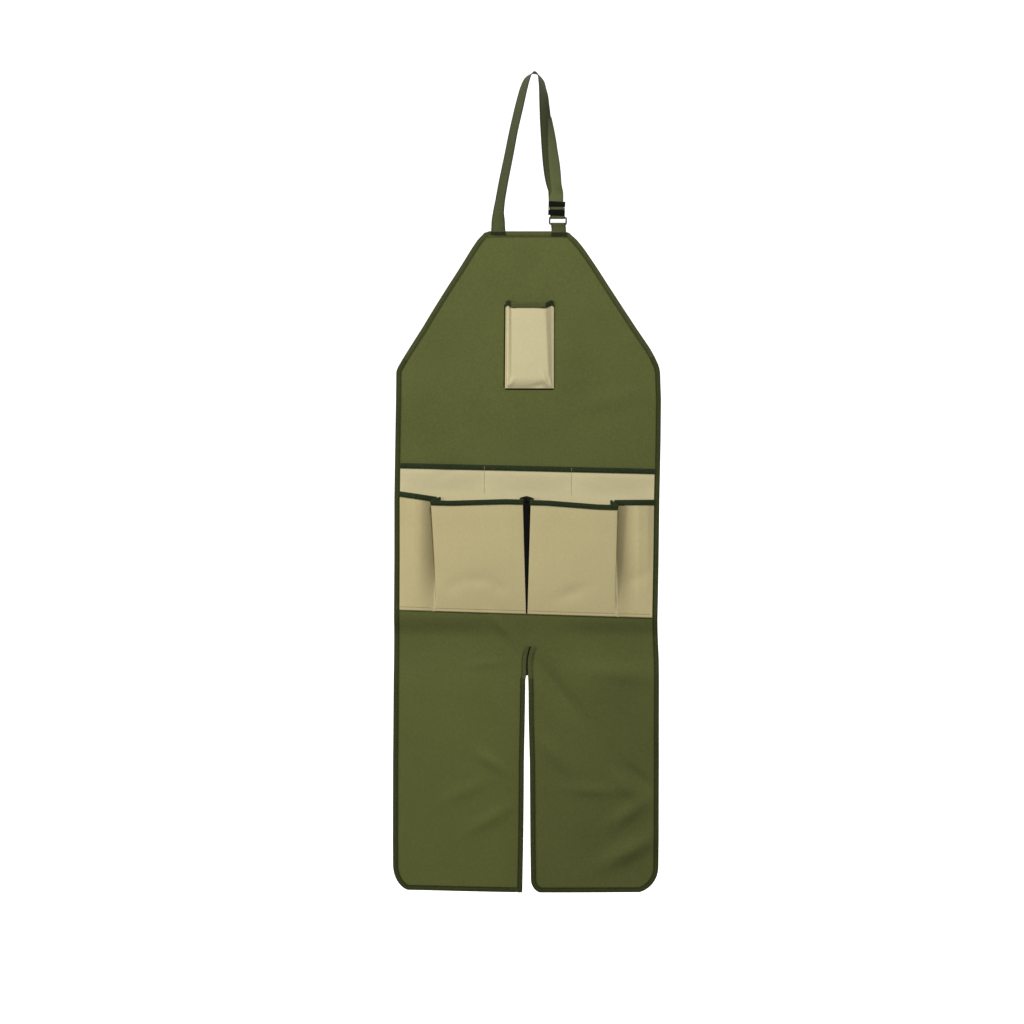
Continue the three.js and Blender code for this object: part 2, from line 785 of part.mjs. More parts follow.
// Webbing swept through stations, each with its middle and the direction of its width.
function webbingSolid(stations) {
  const sections = stations.map(({ middle, wide }, index) => {
    const before = stations[Math.max(index - 1, 0)].middle;
    const after = stations[Math.min(index + 1, stations.length - 1)].middle;
    const into = new THREE.Vector3().subVectors(middle, before).normalize();
    const away = new THREE.Vector3().subVectors(after, middle).normalize();
    const only = into.lengthSq() > 0 ? into : away;
    const along = new THREE.Vector3().addVectors(into, away).normalize();
    const sharpest = 0.5;
    const stretch = 1 / Math.max(along.dot(only), sharpest);
    const side = wide.clone().addScaledVector(along, -wide.dot(along)).normalize();
    const face = new THREE.Vector3().crossVectors(along, side).normalize();
    const halfWide = side.multiplyScalar(webbingWidth / 2);
    const halfThick = face.multiplyScalar((webbingThickness / 2) * stretch);
    return [
      middle.clone().sub(halfWide).sub(halfThick),
      middle.clone().add(halfWide).sub(halfThick),
      middle.clone().add(halfWide).add(halfThick),
      middle.clone().sub(halfWide).add(halfThick),
    ];
  });
  const caps = [
    [0, 1, 2],
    [0, 2, 3],
  ];
  return sweptSolid(sections, caps);
}

// Heights of the buckle's parts above the bib's top.
const wrapRadius = ringBar / 2 + threadGap + webbingThickness / 2;
const wrapReach = wrapRadius + webbingThickness / 2;
const neckRise = 3;
const pinchRise = 0.8;
const ringBottomHeight = tabLength - wrapReach;
const ringTopHeight = tabLength + ringSlotHeight + wrapReach;
const sliderBottomHeight = ringTopHeight + neckRise;
const windowHalf = sliderCentreBar / 2 + 2 * threadGap + webbingThickness;
const sliderMiddleHeight = sliderBottomHeight + sliderBarHeight + windowHalf;
const sliderTopHeight = sliderMiddleHeight + windowHalf + sliderBarHeight;
const buckleX = bodyMiddle + rightStrapAcross;
const ringDepth = strapDepth + layerStep / 2;
const sliderBack = strapDepth - webbingThickness / 2 - threadGap;
const sliderFront = sliderBack - sliderThickness;
const threadFront = sliderFront - threadGap - webbingThickness / 2;

// Half a turn of webbing round a ring's bar, as stations in the plane across the bar.
function wrapStations(height, from, to) {
  const steps = 6;
  const stations = [];
  for (let index = 0; index <= steps; index += 1) {
    const angle = from + ((to - from) * index) / steps;
    stations.push(buckleStation(
      ringDepth + wrapRadius * Math.cos(angle),
      height + wrapRadius * Math.sin(angle),
    ));
  }
  return stations;
}

function buckleStation(depth, height) {
  return {
    middle: new THREE.Vector3(buckleX, depth, bibTop + height),
    wide: new THREE.Vector3(1, 0, 0),
  };
}

// The neck strap, one length of webbing: sewn behind the bib's left corner, over the
// top, down behind the slider, round the ring's upper bar, up through the slider and
// out above it as a free tail.
function makeNeckStrap() {
  const places = strapRows.map(({ up, across }) => new THREE.Vector3(
    bodyMiddle + leftStrapAcross + across * strapSpacing,
    0,
    bibTop + up * (neckLoopHeight + webbingThickness / 2),
  ));
  const curve = new THREE.CatmullRomCurve3(places, false, 'centripetal');
  const last = strapRows.length - 1;
  const perRow = 2;
  const stations = [
    {
      middle: new THREE.Vector3(bodyMiddle + leftStrapAcross, strapDepth, bibTop - strapLap),
      wide: new THREE.Vector3(-1, 0, 0),
    },
    {
      middle: new THREE.Vector3(bodyMiddle + leftStrapAcross, strapDepth, bibTop),
      wide: new THREE.Vector3(-1, 0, 0),
    },
  ];
  for (let index = 0; index <= last * perRow; index += 1) {
    const row = Math.min(Math.floor(index / perRow), last - 1);
    const share = index / perRow - row;
    const turn = THREE.MathUtils.degToRad(
      strapRows[row].turn + (strapRows[row + 1].turn - strapRows[row].turn) * share,
    );
    const middle = curve.getPoint(index / (last * perRow));
    const along = curve.getTangent(index / (last * perRow));
    const height = middle.z - bibTop;
    const onLeft = index < last;
    const rest = onLeft ? strapDepth : strapDepth + layerStep;
    const rise = height - (onLeft ? 0 : sliderTopHeight);
    middle.y = rest * (1 - smooth(0, neckLoopHeight / 2, rise));
    const outward = new THREE.Vector3(-along.z, 0, along.x).normalize();
    const wide = outward.multiplyScalar(Math.cos(turn));
    wide.y = Math.sin(turn);
    stations.push({ middle, wide });
  }
  const back = strapDepth + layerStep;
  stations.push(buckleStation(back, sliderTopHeight));
  stations.push(buckleStation(back, ringTopHeight + neckRise));
  const wrap = wrapStations(ringTopHeight, 0, -Math.PI);
  stations.push(buckleStation(ringDepth + wrapRadius, ringTopHeight + pinchRise));
  stations.push(...wrap);
  stations.push(buckleStation(ringDepth - wrapRadius, ringTopHeight + pinchRise));
  const slot = sliderCentreBar / 2 + threadGap + webbingThickness / 2;
  stations.push(buckleStation(strapDepth, ringTopHeight + neckRise));
  stations.push(buckleStation(strapDepth, sliderMiddleHeight - slot));
  stations.push(buckleStation(threadFront, sliderMiddleHeight - slot));
  stations.push(buckleStation(threadFront, sliderMiddleHeight + slot));
  stations.push(buckleStation(strapDepth, sliderMiddleHeight + slot));
  stations.push(buckleStation(strapDepth, sliderTopHeight));
  for (const { up, across, turn, forward } of tailRows) {
    const station = buckleStation(
      strapDepth - forward * webbingWidth,
      sliderTopHeight + up * tailLength,
    );
    station.middle.x += across * strapSpacing;
    const angle = THREE.MathUtils.degToRad(turn);
    station.wide.set(Math.cos(angle), Math.sin(angle), 0);
    stations.push(station);
  }
  addPiece('neck_strap', webbingSolid(stations), webbing);
}

// The short tab that ties the ring to the bib's right corner: both its ends are sewn
// behind the bib.
function makeTab() {
  const back = strapDepth + layerStep;
  const stations = [
    buckleStation(back, -strapLap),
    buckleStation(back, ringBottomHeight - neckRise),
    buckleStation(ringDepth + wrapRadius, ringBottomHeight - pinchRise),
    ...wrapStations(ringBottomHeight, 0, Math.PI),
    buckleStation(ringDepth - wrapRadius, ringBottomHeight - pinchRise),
    buckleStation(strapDepth, ringBottomHeight - neckRise),
    buckleStation(strapDepth, -strapLap),
  ];
  addPiece('ring_tab', webbingSolid(stations), webbing);
}

// The ring between the strap and the tab: a round bar bent to a rectangle.
function makeRing() {
  const halfWide = webbingWidth / 2 + threadGap * 2 + ringBar / 2;
  const halfHigh = (ringTopHeight - ringBottomHeight) / 2;
  const middleHeight = (ringTopHeight + ringBottomHeight) / 2;
  const bend = 1.4;
  const bendSteps = 3;
  const barSides = 10;
  const path = [];
  const corners = [
    { right: 1, top: 1, quarter: 0 },
    { right: -1, top: 1, quarter: 1 },
    { right: -1, top: -1, quarter: 2 },
    { right: 1, top: -1, quarter: 3 },
  ];
  for (const { right, top, quarter } of corners) {
    for (let index = 0; index <= bendSteps; index += 1) {
      const angle = (Math.PI / 2) * (quarter + index / bendSteps);
      path.push({
        x: right * (halfWide - bend) + bend * Math.cos(angle),
        z: top * (halfHigh - bend) + bend * Math.sin(angle),
        outX: Math.cos(angle),
        outZ: Math.sin(angle),
      });
    }
  }
  const sections = path.map(({ x, z, outX, outZ }) => {
    const section = [];
    for (let index = 0; index < barSides; index += 1) {
      const angle = (2 * Math.PI * index) / barSides;
      const reach = (ringBar / 2) * Math.cos(angle);
      section.push(new THREE.Vector3(
        buckleX + x + outX * reach,
        ringDepth + (ringBar / 2) * Math.sin(angle),
        bibTop + middleHeight + z + outZ * reach,
      ));
    }
    return section;
  });
  addPiece('ring', sweptSolid(sections, [], true), plastic);
}

// The slider: a plate with rounded corners and two slots beside a thin centre bar that
// the webbing passes over.
function makeSlider() {
  const halfWide = sliderWidth / 2;
  const halfHigh = sliderBarHeight + windowHalf;
  const slotHalfWide = webbingWidth / 2 + threadGap * 2;
  const round = 3;
  const plate = new THREE.Shape();
  plate.moveTo(-halfWide + round, -halfHigh);
  plate.lineTo(halfWide - round, -halfHigh);
  plate.quadraticCurveTo(halfWide, -halfHigh, halfWide, -halfHigh + round);
  plate.lineTo(halfWide, halfHigh - round);
  plate.quadraticCurveTo(halfWide, halfHigh, halfWide - round, halfHigh);
  plate.lineTo(-halfWide + round, halfHigh);
  plate.quadraticCurveTo(-halfWide, halfHigh, -halfWide, halfHigh - round);
  plate.lineTo(-halfWide, -halfHigh + round);
  plate.quadraticCurveTo(-halfWide, -halfHigh, -halfWide + round, -halfHigh);
  for (const side of [-1, 1]) {
    const slot = new THREE.Path();
    slot.moveTo(-slotHalfWide, (side * sliderCentreBar) / 2);
    slot.lineTo(-slotHalfWide, side * windowHalf);
    slot.lineTo(slotHalfWide, side * windowHalf);
    slot.lineTo(slotHalfWide, (side * sliderCentreBar) / 2);
    plate.holes.push(slot);
  }
  const slider = new THREE.ExtrudeGeometry(plate, {
    depth: sliderThickness,
    bevelEnabled: false,
    curveSegments: 4,
  });
  slider.rotateX(Math.PI / 2);
  slider.translate(buckleX, sliderBack, bibTop + sliderMiddleHeight);
  addPiece('slider', slider, plastic);
}

makeBody();
makeEdgeTapes();
makePhonePocket();
makeUpperPocket();
for (const pocket of toolPockets) {
  makeToolPocket(pocket);
  makeSidePocket(pocket);
}
makeNeckStrap();
makeTab();
makeRing();
makeSlider();

export default apron;
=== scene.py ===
# A gardening apron hanging by its neck loop: green canvas edged with dark tape, beige
# canvas pockets with dark mouths, and a webbing neck strap with a slider and a ring.
import math
import bpy
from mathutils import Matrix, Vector


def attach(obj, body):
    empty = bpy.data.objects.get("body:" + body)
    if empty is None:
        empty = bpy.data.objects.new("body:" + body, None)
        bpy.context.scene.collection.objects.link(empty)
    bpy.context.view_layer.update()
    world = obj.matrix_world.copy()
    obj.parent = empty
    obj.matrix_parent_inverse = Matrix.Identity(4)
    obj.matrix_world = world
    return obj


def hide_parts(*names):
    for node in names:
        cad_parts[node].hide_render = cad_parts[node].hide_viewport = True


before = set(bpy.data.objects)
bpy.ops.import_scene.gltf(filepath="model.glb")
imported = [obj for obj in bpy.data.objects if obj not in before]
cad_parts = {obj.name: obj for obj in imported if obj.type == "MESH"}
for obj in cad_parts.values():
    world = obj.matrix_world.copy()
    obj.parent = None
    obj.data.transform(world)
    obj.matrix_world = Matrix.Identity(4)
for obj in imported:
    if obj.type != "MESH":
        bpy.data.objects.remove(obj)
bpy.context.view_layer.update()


def table(columns, *rows):
    """Rows of values under the names of their columns."""
    return [dict(zip(columns.split(), row)) for row in rows]


# Sizes in metres, the same as in the part's source.
BODY_WIDTH = 0.450
BODY_LENGTH = 1.1248
BIB_TOP_WIDTH = 0.144
SHOULDER_DROP = 0.236
SLIT_MOUTH = 0.015
HEM_CORNER_HEIGHT = 0.043
LEFT_HEM_CORNER_WIDTH = 0.031
RIGHT_HEM_CORNER_WIDTH = 0.041
INNER_CORNER_HEIGHT = 0.022
INNER_CORNER_WIDTH = 0.020
CLOTH = 0.0012
TAPE_WIDTH = 0.009
TAPE = 0.0008
FIT_GAP = 0.0004
BODY_BOW = 0.008
SIDE_CURL = 0.004
LEG_WAVE = -0.006
LEG_WAVE_LENGTH = 0.460
HEM_LEAN = 0.010
POCKET = 0.001
PHONE_WIDTH = 0.083
PHONE_HEIGHT = 0.1495
PHONE_DROP = 0.116
PHONE_SHIFT = 0.0047
PHONE_DEPTH = 0.014
UPPER_DROP = 0.3988
UPPER_GAPE = 0.004
SEAM_DROP = 0.6498
SLIT_TOP = SEAM_DROP + 0.0562
TOOL_DROP = 0.450
TOOL_DEPTH = 0.022
SIDE_DEPTH = 0.011
POCKET_LEAN = 0.019
SEAM_LEAN = 0.025
SEAM_SINK = 0.009
LOOP_HEIGHT = 0.271
WEBBING_WIDTH = 0.025
WEBBING = 0.0014
THREAD_GAP = 0.0004
STRAP_LAP = 0.026
TAB_LENGTH = 0.0165
RING_SLOT = 0.006
RING_BAR = 0.0024
SLIDER_BAR = 0.009
SLIDER_THICKNESS = 0.0026
SLIDER_CENTRE_BAR = 0.0012
TAIL_LENGTH = 0.140

# Allowances: a thread above its cloth, the strap's ends above the ring's bars, its lead
# onto a bar, the reach of a crease, a lower pocket's wall, and the share by which its tuck
# is wider at the seam; then the fittings' tilt in degrees, and what counts as nothing.
STITCH_LIFT = 0.0001
NECK_RISE = 0.003
LEAD = 0.0008
CREASE_REACH = 0.16
TOOL_WALL = 0.195
TUCK_SPREAD = 0.02
FITTINGS_TILT = 2.5
TINY = 1e-6

# The body's outline: shares of the armhole's drop and spread, then of the skirt's drop
# and half width, then of the slit's drop and mouth.
ARMHOLE = table(
    "down left right",
    (0, 0, 0), (0.053, 0.072, 0.081), (0.125, 0.148, 0.17), (0.27, 0.288, 0.319),
    (0.41, 0.43, 0.455), (0.56, 0.577, 0.604), (0.7, 0.709, 0.744), (0.85, 0.859, 0.9),
    (0.92, 0.927, 0.955), (0.963, 0.966, 0.985), (1, 1, 1),
)
SKIRT = table(
    "down left right",
    (0, 0.988, 1.011), (0.055, 0.99, 1.018), (0.132, 0.995, 1.015), (0.25, 1.002, 1.005),
    (0.363, 1.002, 0.999), (0.478, 1.005, 0.991), (0.555, 1.006, 1.003), (0.75, 1.014, 1.004),
    (0.9, 1.016, 1.003), (1, 1.014, 0.999),
)
SLIT = table(
    "down left right",
    (0, 0.37, 0.49), (0.03, 0.11, 0.25), (0.055, -0.01, 0.13), (0.08, -0.04, 0.1),
    (0.113, -0.02, 0.13), (0.135, -0.15, 0.17), (0.18, -0.155, 0.2), (0.3, -0.21, 0.22),
    (0.46, -0.3, 0.34), (0.63, -0.33, 0.38), (0.79, -0.38, 0.41), (1, -0.49, 0.49),
)

# The strap from behind the bib's left corner over the top: height as a share of the
# loop, place between the strap ends, and the turn in degrees that takes its outer edge back.
STRAP = table(
    "up across turn",
    (0.03, 0, 20), (0.07, 0, 26), (0.12, 0.003, 42), (0.2, 0.033, 50), (0.327, 0.093, 51),
    (0.478, 0.174, 53), (0.629, 0.251, 55), (0.78, 0.342, 55), (0.893, 0.415, 59),
    (0.956, 0.472, 66), (0.988, 0.535, 80), (1, 0.598, 89), (0.985, 0.664, 83),
    (0.945, 0.712, 67), (0.893, 0.736, 60), (0.855, 0.75, 53), (0.78, 0.765, 47),
    (0.704, 0.78, 41), (0.629, 0.797, 36), (0.553, 0.814, 32), (0.478, 0.832, 28),
    (0.4, 0.858, 22), (0.327, 0.893, 16), (0.27, 0.94, 8),
)
TAIL = table(
    "up across turn forward",
    (0.1, 0, -8, 0.02), (0.2, -0.02, -24, 0.1), (0.33, -0.027, -32, 0.2),
    (0.46, -0.038, -40, 0.3), (0.6, -0.058, -49, 0.4), (0.74, -0.07, -60, 0.5),
    (0.87, -0.085, -71, 0.6), (1, -0.104, -82, 0.68),
)

# Folds of the phone pocket from left to right and how its face falls back to the seam.
CORNER_STAND = 0.9
PHONE_FOLDS = table(
    "mouth seam stand dip",
    (-0.97, -1, 0, 0.02), (-0.84, -0.87, 0.03, 0), (-0.74, -0.71, CORNER_STAND, 0.038),
    (-0.35, -0.3, 1, 0.036), (0.25, 0.3, 1, 0.036), (0.64, 0.8, CORNER_STAND, 0.042),
    (0.9, 0.92, 0.03, 0), (1, 1, 0, 0.02),
)
PHONE_BELLY = table(
    "down stand",
    (0, 1), (0.1, 0.96), (0.4, 0.86), (0.7, 0.76), (0.9, 0.62), (0.97, 0.36), (1, 0.08),
)
UPPER_FOLDS = table(
    "across gape",
    (-1, 0), (-0.92, 0.6), (-0.76, 1), (-0.58, 1), (-0.41, 0.6), (-0.335, 0), (-0.25, 0.6),
    (-0.09, 1), (0.1, 1), (0.27, 0.6), (0.35, 0), (0.43, 0.6), (0.6, 1), (0.77, 1), (0.92, 0.6),
    (1, 0),
)
TOOL_BELLY = table(
    "down stand",
    (0, 1), (0.07, 0.95), (0.3, 0.78), (0.55, 0.56), (0.8, 0.3), (0.93, 0.12), (1, 0),
)
TOOL_POCKETS = table(
    "name side tuck mouth seam edge_dip mid_dip tuck_dip side_dip",
    ("left", -1, 0.682, 0.76, 0.705, 0.5, 0.28, 0.22, -0.14),
    ("right", 1, 0.662, 0.716, 0.7, 0.53, 0.31, 0.15, 0.06),
)

# Soft creases of the hanging cloth, in metres from the body's middle and the bib's top:
# where, falling to the right by how many degrees, half length, width and height.
CREASES = table(
    "across down fall half width height",
    (-0.040, 0.675, 47, 0.034, 0.009, 0.0042), (0.053, 0.778, 52, 0.070, 0.013, -0.0076),
    (0.047, 0.889, 50, 0.040, 0.012, 0.0046), (0.168, 0.943, 45, 0.030, 0.012, 0.0052),
    (0.190, 0.928, 42, 0.034, 0.010, -0.0042), (0.111, 0.950, 3, 0.045, 0.010, 0.0030),
    (0.173, 0.989, -35, 0.036, 0.013, 0.0050), (0.174, 1.054, -28, 0.046, 0.015, 0.0066),
    (0.160, 0.752, 5, 0.060, 0.016, 0.0044), (-0.062, 0.902, 34, 0.030, 0.009, 0.0034),
    (-0.105, 0.953, -26, 0.040, 0.012, 0.0022), (-0.062, 1.000, -31, 0.040, 0.011, 0.0030),
    (-0.068, 0.736, -8, 0.030, 0.006, 0.0014), (0.006, 0.062, 88, 0.030, 0.018, -0.0025),
    (0.150, 0.285, -12, 0.050, 0.016, 0.0021),
)

# Creases of the pockets alone, in the same columns.
POCKET_CREASES = table(
    "across down fall half width height",
    (-0.124, 0.604, -35, 0.014, 0.011, -0.0012), (-0.085, 0.593, 0, 0.026, 0.011, -0.0013),
    (-0.046, 0.606, 33, 0.015, 0.011, -0.0012), (0.076, 0.615, -20, 0.026, 0.011, -0.0018),
    (-0.139, 0.414, -27, 0.020, 0.009, -0.0010), (-0.028, 0.423, 70, 0.008, 0.006, -0.0008),
    (0.135, 0.430, 45, 0.014, 0.007, -0.0010), (-0.168, 0.560, 62, 0.030, 0.012, -0.0012),
    (0.185, 0.590, -25, 0.026, 0.012, -0.0014), (0.031, 0.254, 62, 0.014, 0.004, 0.0018),
    (0.0364, 0.2523, 75, 0.010, 0.0035, -0.0018), (0.021, 0.2617, -10, 0.012, 0.004, -0.0016),
    (-0.0267, 0.259, -55, 0.009, 0.003, 0.0014),
)

# Places that follow from the sizes.
BIB_TOP = -LOOP_HEIGHT
LEFT_STRAP = -BIB_TOP_WIDTH / 2 + 0.011 + WEBBING_WIDTH / 2
RIGHT_STRAP = BIB_TOP_WIDTH / 2 - 0.0046 - WEBBING_WIDTH / 2
SPACING = RIGHT_STRAP - LEFT_STRAP
BODY_MIDDLE = -(LEFT_STRAP + 0.598 * SPACING)
TAPE_WRAP = FIT_GAP + TAPE
STRAP_DEPTH = CLOTH / 2 + TAPE_WRAP + FIT_GAP + WEBBING / 2
LAYER_STEP = WEBBING + THREAD_GAP
BUCKLE_X = BODY_MIDDLE + RIGHT_STRAP
WRAP_RADIUS = RING_BAR / 2 + THREAD_GAP + WEBBING / 2
WRAP_REACH = WRAP_RADIUS + WEBBING / 2
RING_BOTTOM = TAB_LENGTH - WRAP_REACH
RING_TOP = TAB_LENGTH + RING_SLOT + WRAP_REACH
WINDOW_HALF = SLIDER_CENTRE_BAR / 2 + 2 * THREAD_GAP + WEBBING
SLIDER_MIDDLE = RING_TOP + NECK_RISE + SLIDER_BAR + WINDOW_HALF
SLIDER_TOP = SLIDER_MIDDLE + WINDOW_HALF + SLIDER_BAR
RING_DEPTH = STRAP_DEPTH + LAYER_STEP / 2
SLIDER_FRONT = STRAP_DEPTH - WEBBING / 2 - THREAD_GAP - SLIDER_THICKNESS
THREAD_FRONT = SLIDER_FRONT - THREAD_GAP - WEBBING / 2
SURFACE = POCKET / 2 + 0.0003
TAPE_FACE = POCKET / 2 + TAPE_WRAP + STITCH_LIFT
TOOL_BASE = CLOTH / 2 + FIT_GAP + POCKET + FIT_GAP
TOOL_FOOT = TOOL_BASE + TAPE_WRAP


def look_up(rows, down, column):
    """A value between the rows of a table that goes down."""
    index = 0
    while index < len(rows) - 2 and rows[index + 1]["down"] < down:
        index += 1
    start, end = rows[index], rows[index + 1]
    share = (down - start["down"]) / (end["down"] - start["down"])
    share = min(max(share, 0), 1)
    return start[column] + (end[column] - start[column]) * share


def look_up_soft(rows, down, column, blur):
    """A value between the rows of a table, with its corners rounded off."""
    near = [look_up(rows, down + blur * step, column) for step in (-1, -0.5, 0, 0.5, 1)]
    return sum(near) / len(near)


def smooth(start, end, value):
    share = min(max((value - start) / (end - start), 0), 1)
    return share * share * (3 - 2 * share)


def spread(start, end, count):
    """Numbers from start to end in even steps."""
    return [start + (end - start) * step / count for step in range(count + 1)]


def runs_along(points):
    """The way covered at each point of a line."""
    runs = [0.0]
    for start, end in zip(points, points[1:]):
        runs.append(runs[-1] + (end - start).length)
    return runs


def crease(rows, across, down):
    """How far the creases of a table push the cloth forward at a place."""
    push = 0
    for row in rows:
        right = across - row["across"]
        below = down - row["down"]
        if abs(right) > CREASE_REACH or abs(below) > CREASE_REACH:
            continue
        angle = math.radians(row["fall"])
        along = right * math.cos(angle) + below * math.sin(angle)
        beside = below * math.cos(angle) - right * math.sin(angle)
        reach = (along / row["half"]) ** 2 + (beside / row["width"]) ** 2
        push += row["height"] * math.exp(-reach)
    return push


def drape(across, down):
    """How far back the middle of the body's cloth hangs at a place."""
    side = across / (BODY_WIDTH / 2)
    fall = min(max(down / BODY_LENGTH, 0), 1)
    bow = -BODY_BOW * math.sin(math.pi * fall)
    curl = SIDE_CURL * abs(side) ** 3
    legs = smooth(SLIT_TOP - 0.05, SLIT_TOP + 0.20, down)
    wave = LEG_WAVE * legs * math.cos(2 * math.pi * across / LEG_WAVE_LENGTH)
    # Below the pockets' seam the cloth sinks back, least of all in the middle.
    deepest = SEAM_DROP + 0.040
    sink = smooth(SEAM_DROP + 0.002, deepest, down) - smooth(deepest, 0.785, down)
    sink *= SEAM_SINK * (0.3 + 0.7 * smooth(0.02, 0.12, abs(across)))
    return bow + curl + wave + sink - crease(CREASES, across, down)


def place(across, down, out):
    """A point on the apron, out being its distance in front of the cloth's middle."""
    # The bib's top edge bows up a little and drops at its two corners.
    near_top = 1 - smooth(0, 0.016, down)
    down += near_top * (0.003 * smooth(0.062, 0.0735, abs(across)) - 0.0014)
    lean = HEM_LEAN * across * down / BODY_LENGTH
    return Vector((across + BODY_MIDDLE, drape(across, down) - out, BIB_TOP - down - lean))


def corner_bite(down, height):
    drop = min(max((down - (BODY_LENGTH - height)) / height, 0), 1)
    return 1 - math.sqrt(1 - drop * drop)


def side_edge(side, down):
    """The body's outline at a height, on the left side or the right."""
    column = "left" if side < 0 else "right"
    hip = BODY_WIDTH / 2 * SKIRT[0][column]
    if down < SHOULDER_DROP:
        share = down / SHOULDER_DROP
        if down < 0.02:
            reach = look_up(ARMHOLE, share, column)
        else:
            reach = look_up_soft(ARMHOLE, share, column, 0.02)
        return side * (BIB_TOP_WIDTH / 2 + (hip - BIB_TOP_WIDTH / 2) * reach)
    fall = (down - SHOULDER_DROP) / (BODY_LENGTH - SHOULDER_DROP)
    half = BODY_WIDTH / 2 * look_up(SKIRT, fall, column)
    width = LEFT_HEM_CORNER_WIDTH if side < 0 else RIGHT_HEM_CORNER_WIDTH
    return side * (half - width * corner_bite(down, HEM_CORNER_HEIGHT))


def slit_edge(side, down):
    column = "left" if side < 0 else "right"
    fall = (down - SLIT_TOP) / (BODY_LENGTH - SLIT_TOP)
    edge = SLIT_MOUTH * look_up(SLIT, fall, column)
    bite = INNER_CORNER_WIDTH * corner_bite(down, INNER_CORNER_HEIGHT) if side > 0 else 0
    return edge + bite


def pocket_edge(side, down):
    return abs(side_edge(side, down)) - TAPE_WIDTH - 2 * FIT_GAP


# Making and finishing pieces.

def select_only(piece):
    bpy.ops.object.select_all(action="DESELECT")
    piece.select_set(True)
    bpy.context.view_layer.objects.active = piece


def apply_modifiers(piece):
    select_only(piece)
    for modifier in list(piece.modifiers):
        bpy.ops.object.modifier_apply(modifier=modifier.name)


def add_piece(name, add, **options):
    """A fresh piece, and the only one selected."""
    bpy.ops.object.select_all(action="DESELECT")
    add(**options)
    piece = bpy.context.object
    piece.name = name
    return piece


def edit_all(piece, change, **options):
    """Makes one change to the whole of a piece's mesh."""
    select_only(piece)
    bpy.ops.object.mode_set(mode="EDIT")
    bpy.ops.mesh.select_all(action="SELECT")
    change(**options)
    bpy.ops.object.mode_set(mode="OBJECT")


def face_outwards(piece):
    edit_all(piece, bpy.ops.mesh.normals_make_consistent, inside=False)


def cloth_grid(name, columns, rows, spot):
    """A sheet with its points laid out by spot(u, v): u across and v down, from 0 to 1."""
    piece = add_piece(name, bpy.ops.mesh.primitive_grid_add, x_subdivisions=columns,
                      y_subdivisions=rows, size=1)
    piece.data.name = name
    for vertex in piece.data.vertices:
        vertex.co = spot(vertex.co.x + 0.5, 0.5 - vertex.co.y)
    return piece


def line_part(piece, columns, materials, part_of):
    """Gives a sheet several materials: part_of(u) says which, u going across."""
    for worn in materials:
        piece.data.materials.append(worn)
    for face in piece.data.polygons:
        face.material_index = int(part_of((face.index % columns + 0.5) / columns))


def thicken(piece, thickness):
    solid = piece.modifiers.new("thickness", "SOLIDIFY")
    solid.thickness = thickness
    solid.offset = 0
    apply_modifiers(piece)


def finish(piece, material, slot, *nodes, angle=40):
    """Smooths a piece's shading, gives it its material and hangs it on the apron."""
    select_only(piece)
    bpy.ops.object.shade_smooth_by_angle(angle=math.radians(angle))
    if not piece.data.materials:
        piece.data.materials.append(material)
    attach(piece, "root")
    if nodes:
        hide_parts(*nodes)
    return piece


# Materials.

def set_inputs(tree, node, values):
    """Puts values or links on a node's sockets, by name or by number."""
    for key, value in values.items():
        socket = node.inputs[key]
        if isinstance(value, bpy.types.NodeSocket):
            tree.links.new(value, socket)
        elif socket.type == "RGBA":
            socket.default_value = (*value, 1)
        else:
            socket.default_value = value


def add_node(tree, kind, values, **settings):
    node = tree.nodes.new(kind)
    for key, value in settings.items():
        setattr(node, key, value)
    set_inputs(tree, node, values)
    return node


def maths(tree, operation, *values):
    values = dict(enumerate(values))
    return add_node(tree, "ShaderNodeMath", values, operation=operation).outputs[0]


def mixed(tree, factor, first, second):
    values = {0: factor, 6: first, 7: second}
    return add_node(tree, "ShaderNodeMix", values, data_type="RGBA").outputs[2]


def ramp(tree, value, start, end, low, high, kind="LINEAR", name="ramp"):
    """A value taken from one range to another and held at the ends."""
    values = {0: value, 1: start, 2: end, 3: low, 4: high}
    node = add_node(tree, "ShaderNodeMapRange", values, interpolation_type=kind, name=name)
    return node.outputs[0]


def noise(tree, spot, scale, detail, roughness=0.5):
    values = {"Vector": spot, "Scale": scale, "Detail": detail, "Roughness": roughness}
    return add_node(tree, "ShaderNodeTexNoise", values).outputs[0]


def axes_of(tree, spot):
    return add_node(tree, "ShaderNodeSeparateXYZ", {"Vector": spot}).outputs


